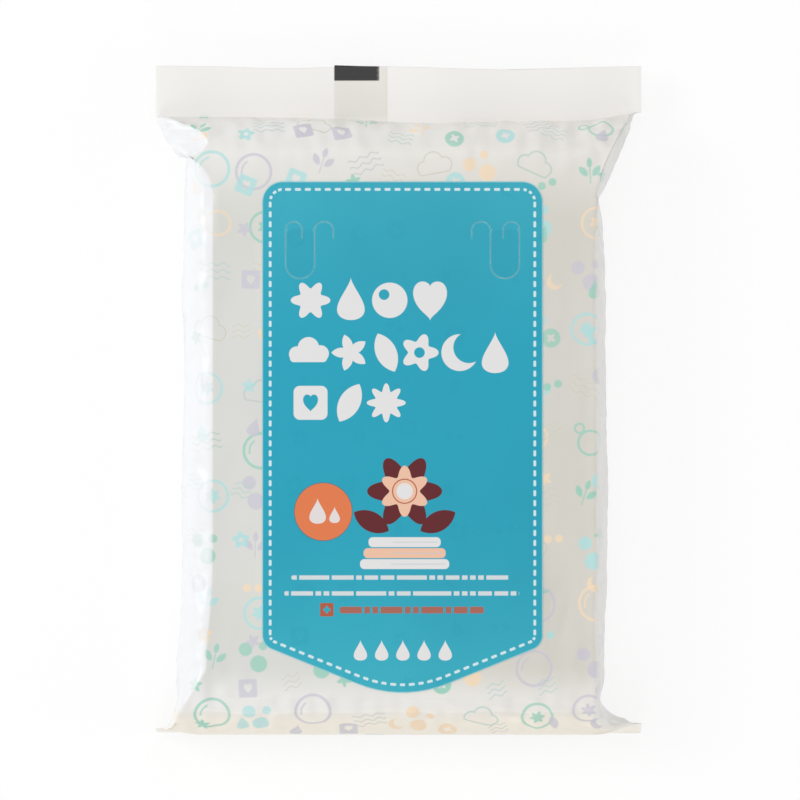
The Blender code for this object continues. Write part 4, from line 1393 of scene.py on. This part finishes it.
for index, (width, colour) in enumerate(((10.2, WHITE_INK), (11.6, SKIN_PEACH), (12.6, WHITE_INK))):
    wipe_y = label_y + 40.2 + 3.1 * index
    label_colour = paint(label_colour, rounded_box(label_x - 0.6, wipe_y, width, 1.4, 1.2), colour)
    fold = rounded_box(label_x - 0.6 - 0.3 * width, wipe_y, 0.62 * width, 0.12, 0.1)
    label_colour = paint(label_colour, fold, FOLD_GREY, 0.8)
bubble_x, bubble_y = label_x + 22.4, label_y + 31.6
label_colour = paint(label_colour, disc(bubble_x, bubble_y, 8.3), DARK_RED, 0.6)
label_colour = paint(label_colour, disc(bubble_x, bubble_y, 8.1), ORANGE)
label_colour = paint(label_colour, drop(bubble_x + 1.6, bubble_y - 0.2, 3.6), WHITE_INK, 0.9)
label_colour = paint(label_colour, drop(bubble_x - 3.2, bubble_y + 0.9, 2.3), WHITE_INK, 0.9)


# %% Bars in the place of small type
def bars(x, y, start, end, half, cell, seed):
    """A line of small type told as bars: a gap is left wherever a random number says so."""
    index = (x / cell).math("FLOOR")
    gap_here, _, _ = random_of(index, index, seed)
    from_cell_start = (x / cell).math("FRACT") * cell
    gap = step_in(from_cell_start - 0.7, 0.15) * step_in(gap_here - 0.5, 0.01)
    line = rounded_box(x - (start + end) / 2, y, (end - start) / 2, half, half * 0.7)
    return step_in(line, 0.2) * (1 - gap)


for line_y, start, end, half, strength, colour, seed in (
    (-50.2, -31.4, 30.4, 0.6, 0.85, WHITE_INK, 5),
    (-54.7, -33.4, 33.0, 0.6, 0.85, WHITE_INK, 6),
    (-59.4, -17.8, 23.0, 0.95, 0.9, RUST, 8),
):
    mask = bars(label_x, label_y - line_y, start, end, half, 2.3, seed)
    label_colour = mix_colours(mask * strength, label_colour, colour)
emblem_x, emblem_y = label_x + 21.4, label_y + 59.3
emblem = without(rounded_box(emblem_x, emblem_y, 1.9, 1.9, 0.3), blossom(emblem_x, emblem_y, 1.1, 4))
label_colour = paint(label_colour, emblem, RUST)
small_drop = drop((label_x + 11.9).math("WRAP", 3.0, -3.0), label_y + 70.8, 2.9)
small_drop = larger(small_drop, abs(label_x - 0.2) - 14.9)
label_colour = paint(label_colour, small_drop, WHITE_INK)

label_tree.links.new(label_colour.socket, label_shader.inputs["Base Color"])
label_shader.inputs["Specular IOR Level"].default_value = 0.5
label_tree.links.new((0.3 + blotch * 0.14).socket, label_shader.inputs["Roughness"])
waviness = noise_at(label_place, 60.0, 1.0)
label_bump = bump_of(waviness, 0.3, 0.3 * MM)
label_tree.links.new(label_bump.socket, label_shader.inputs["Normal"])
label_mesh.materials.append(label_material)
print("label material", len(label_tree.nodes), "nodes")

# %% [markdown]
# Last, the two pieces take the places of their plain solids.

# %% Put the pieces in place of the solids
for piece, node, slot in ((pouch, "film_pouch", "pouch_film"), (label, "reseal_label", "label_film")):
    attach(piece, "root")
    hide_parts(node)
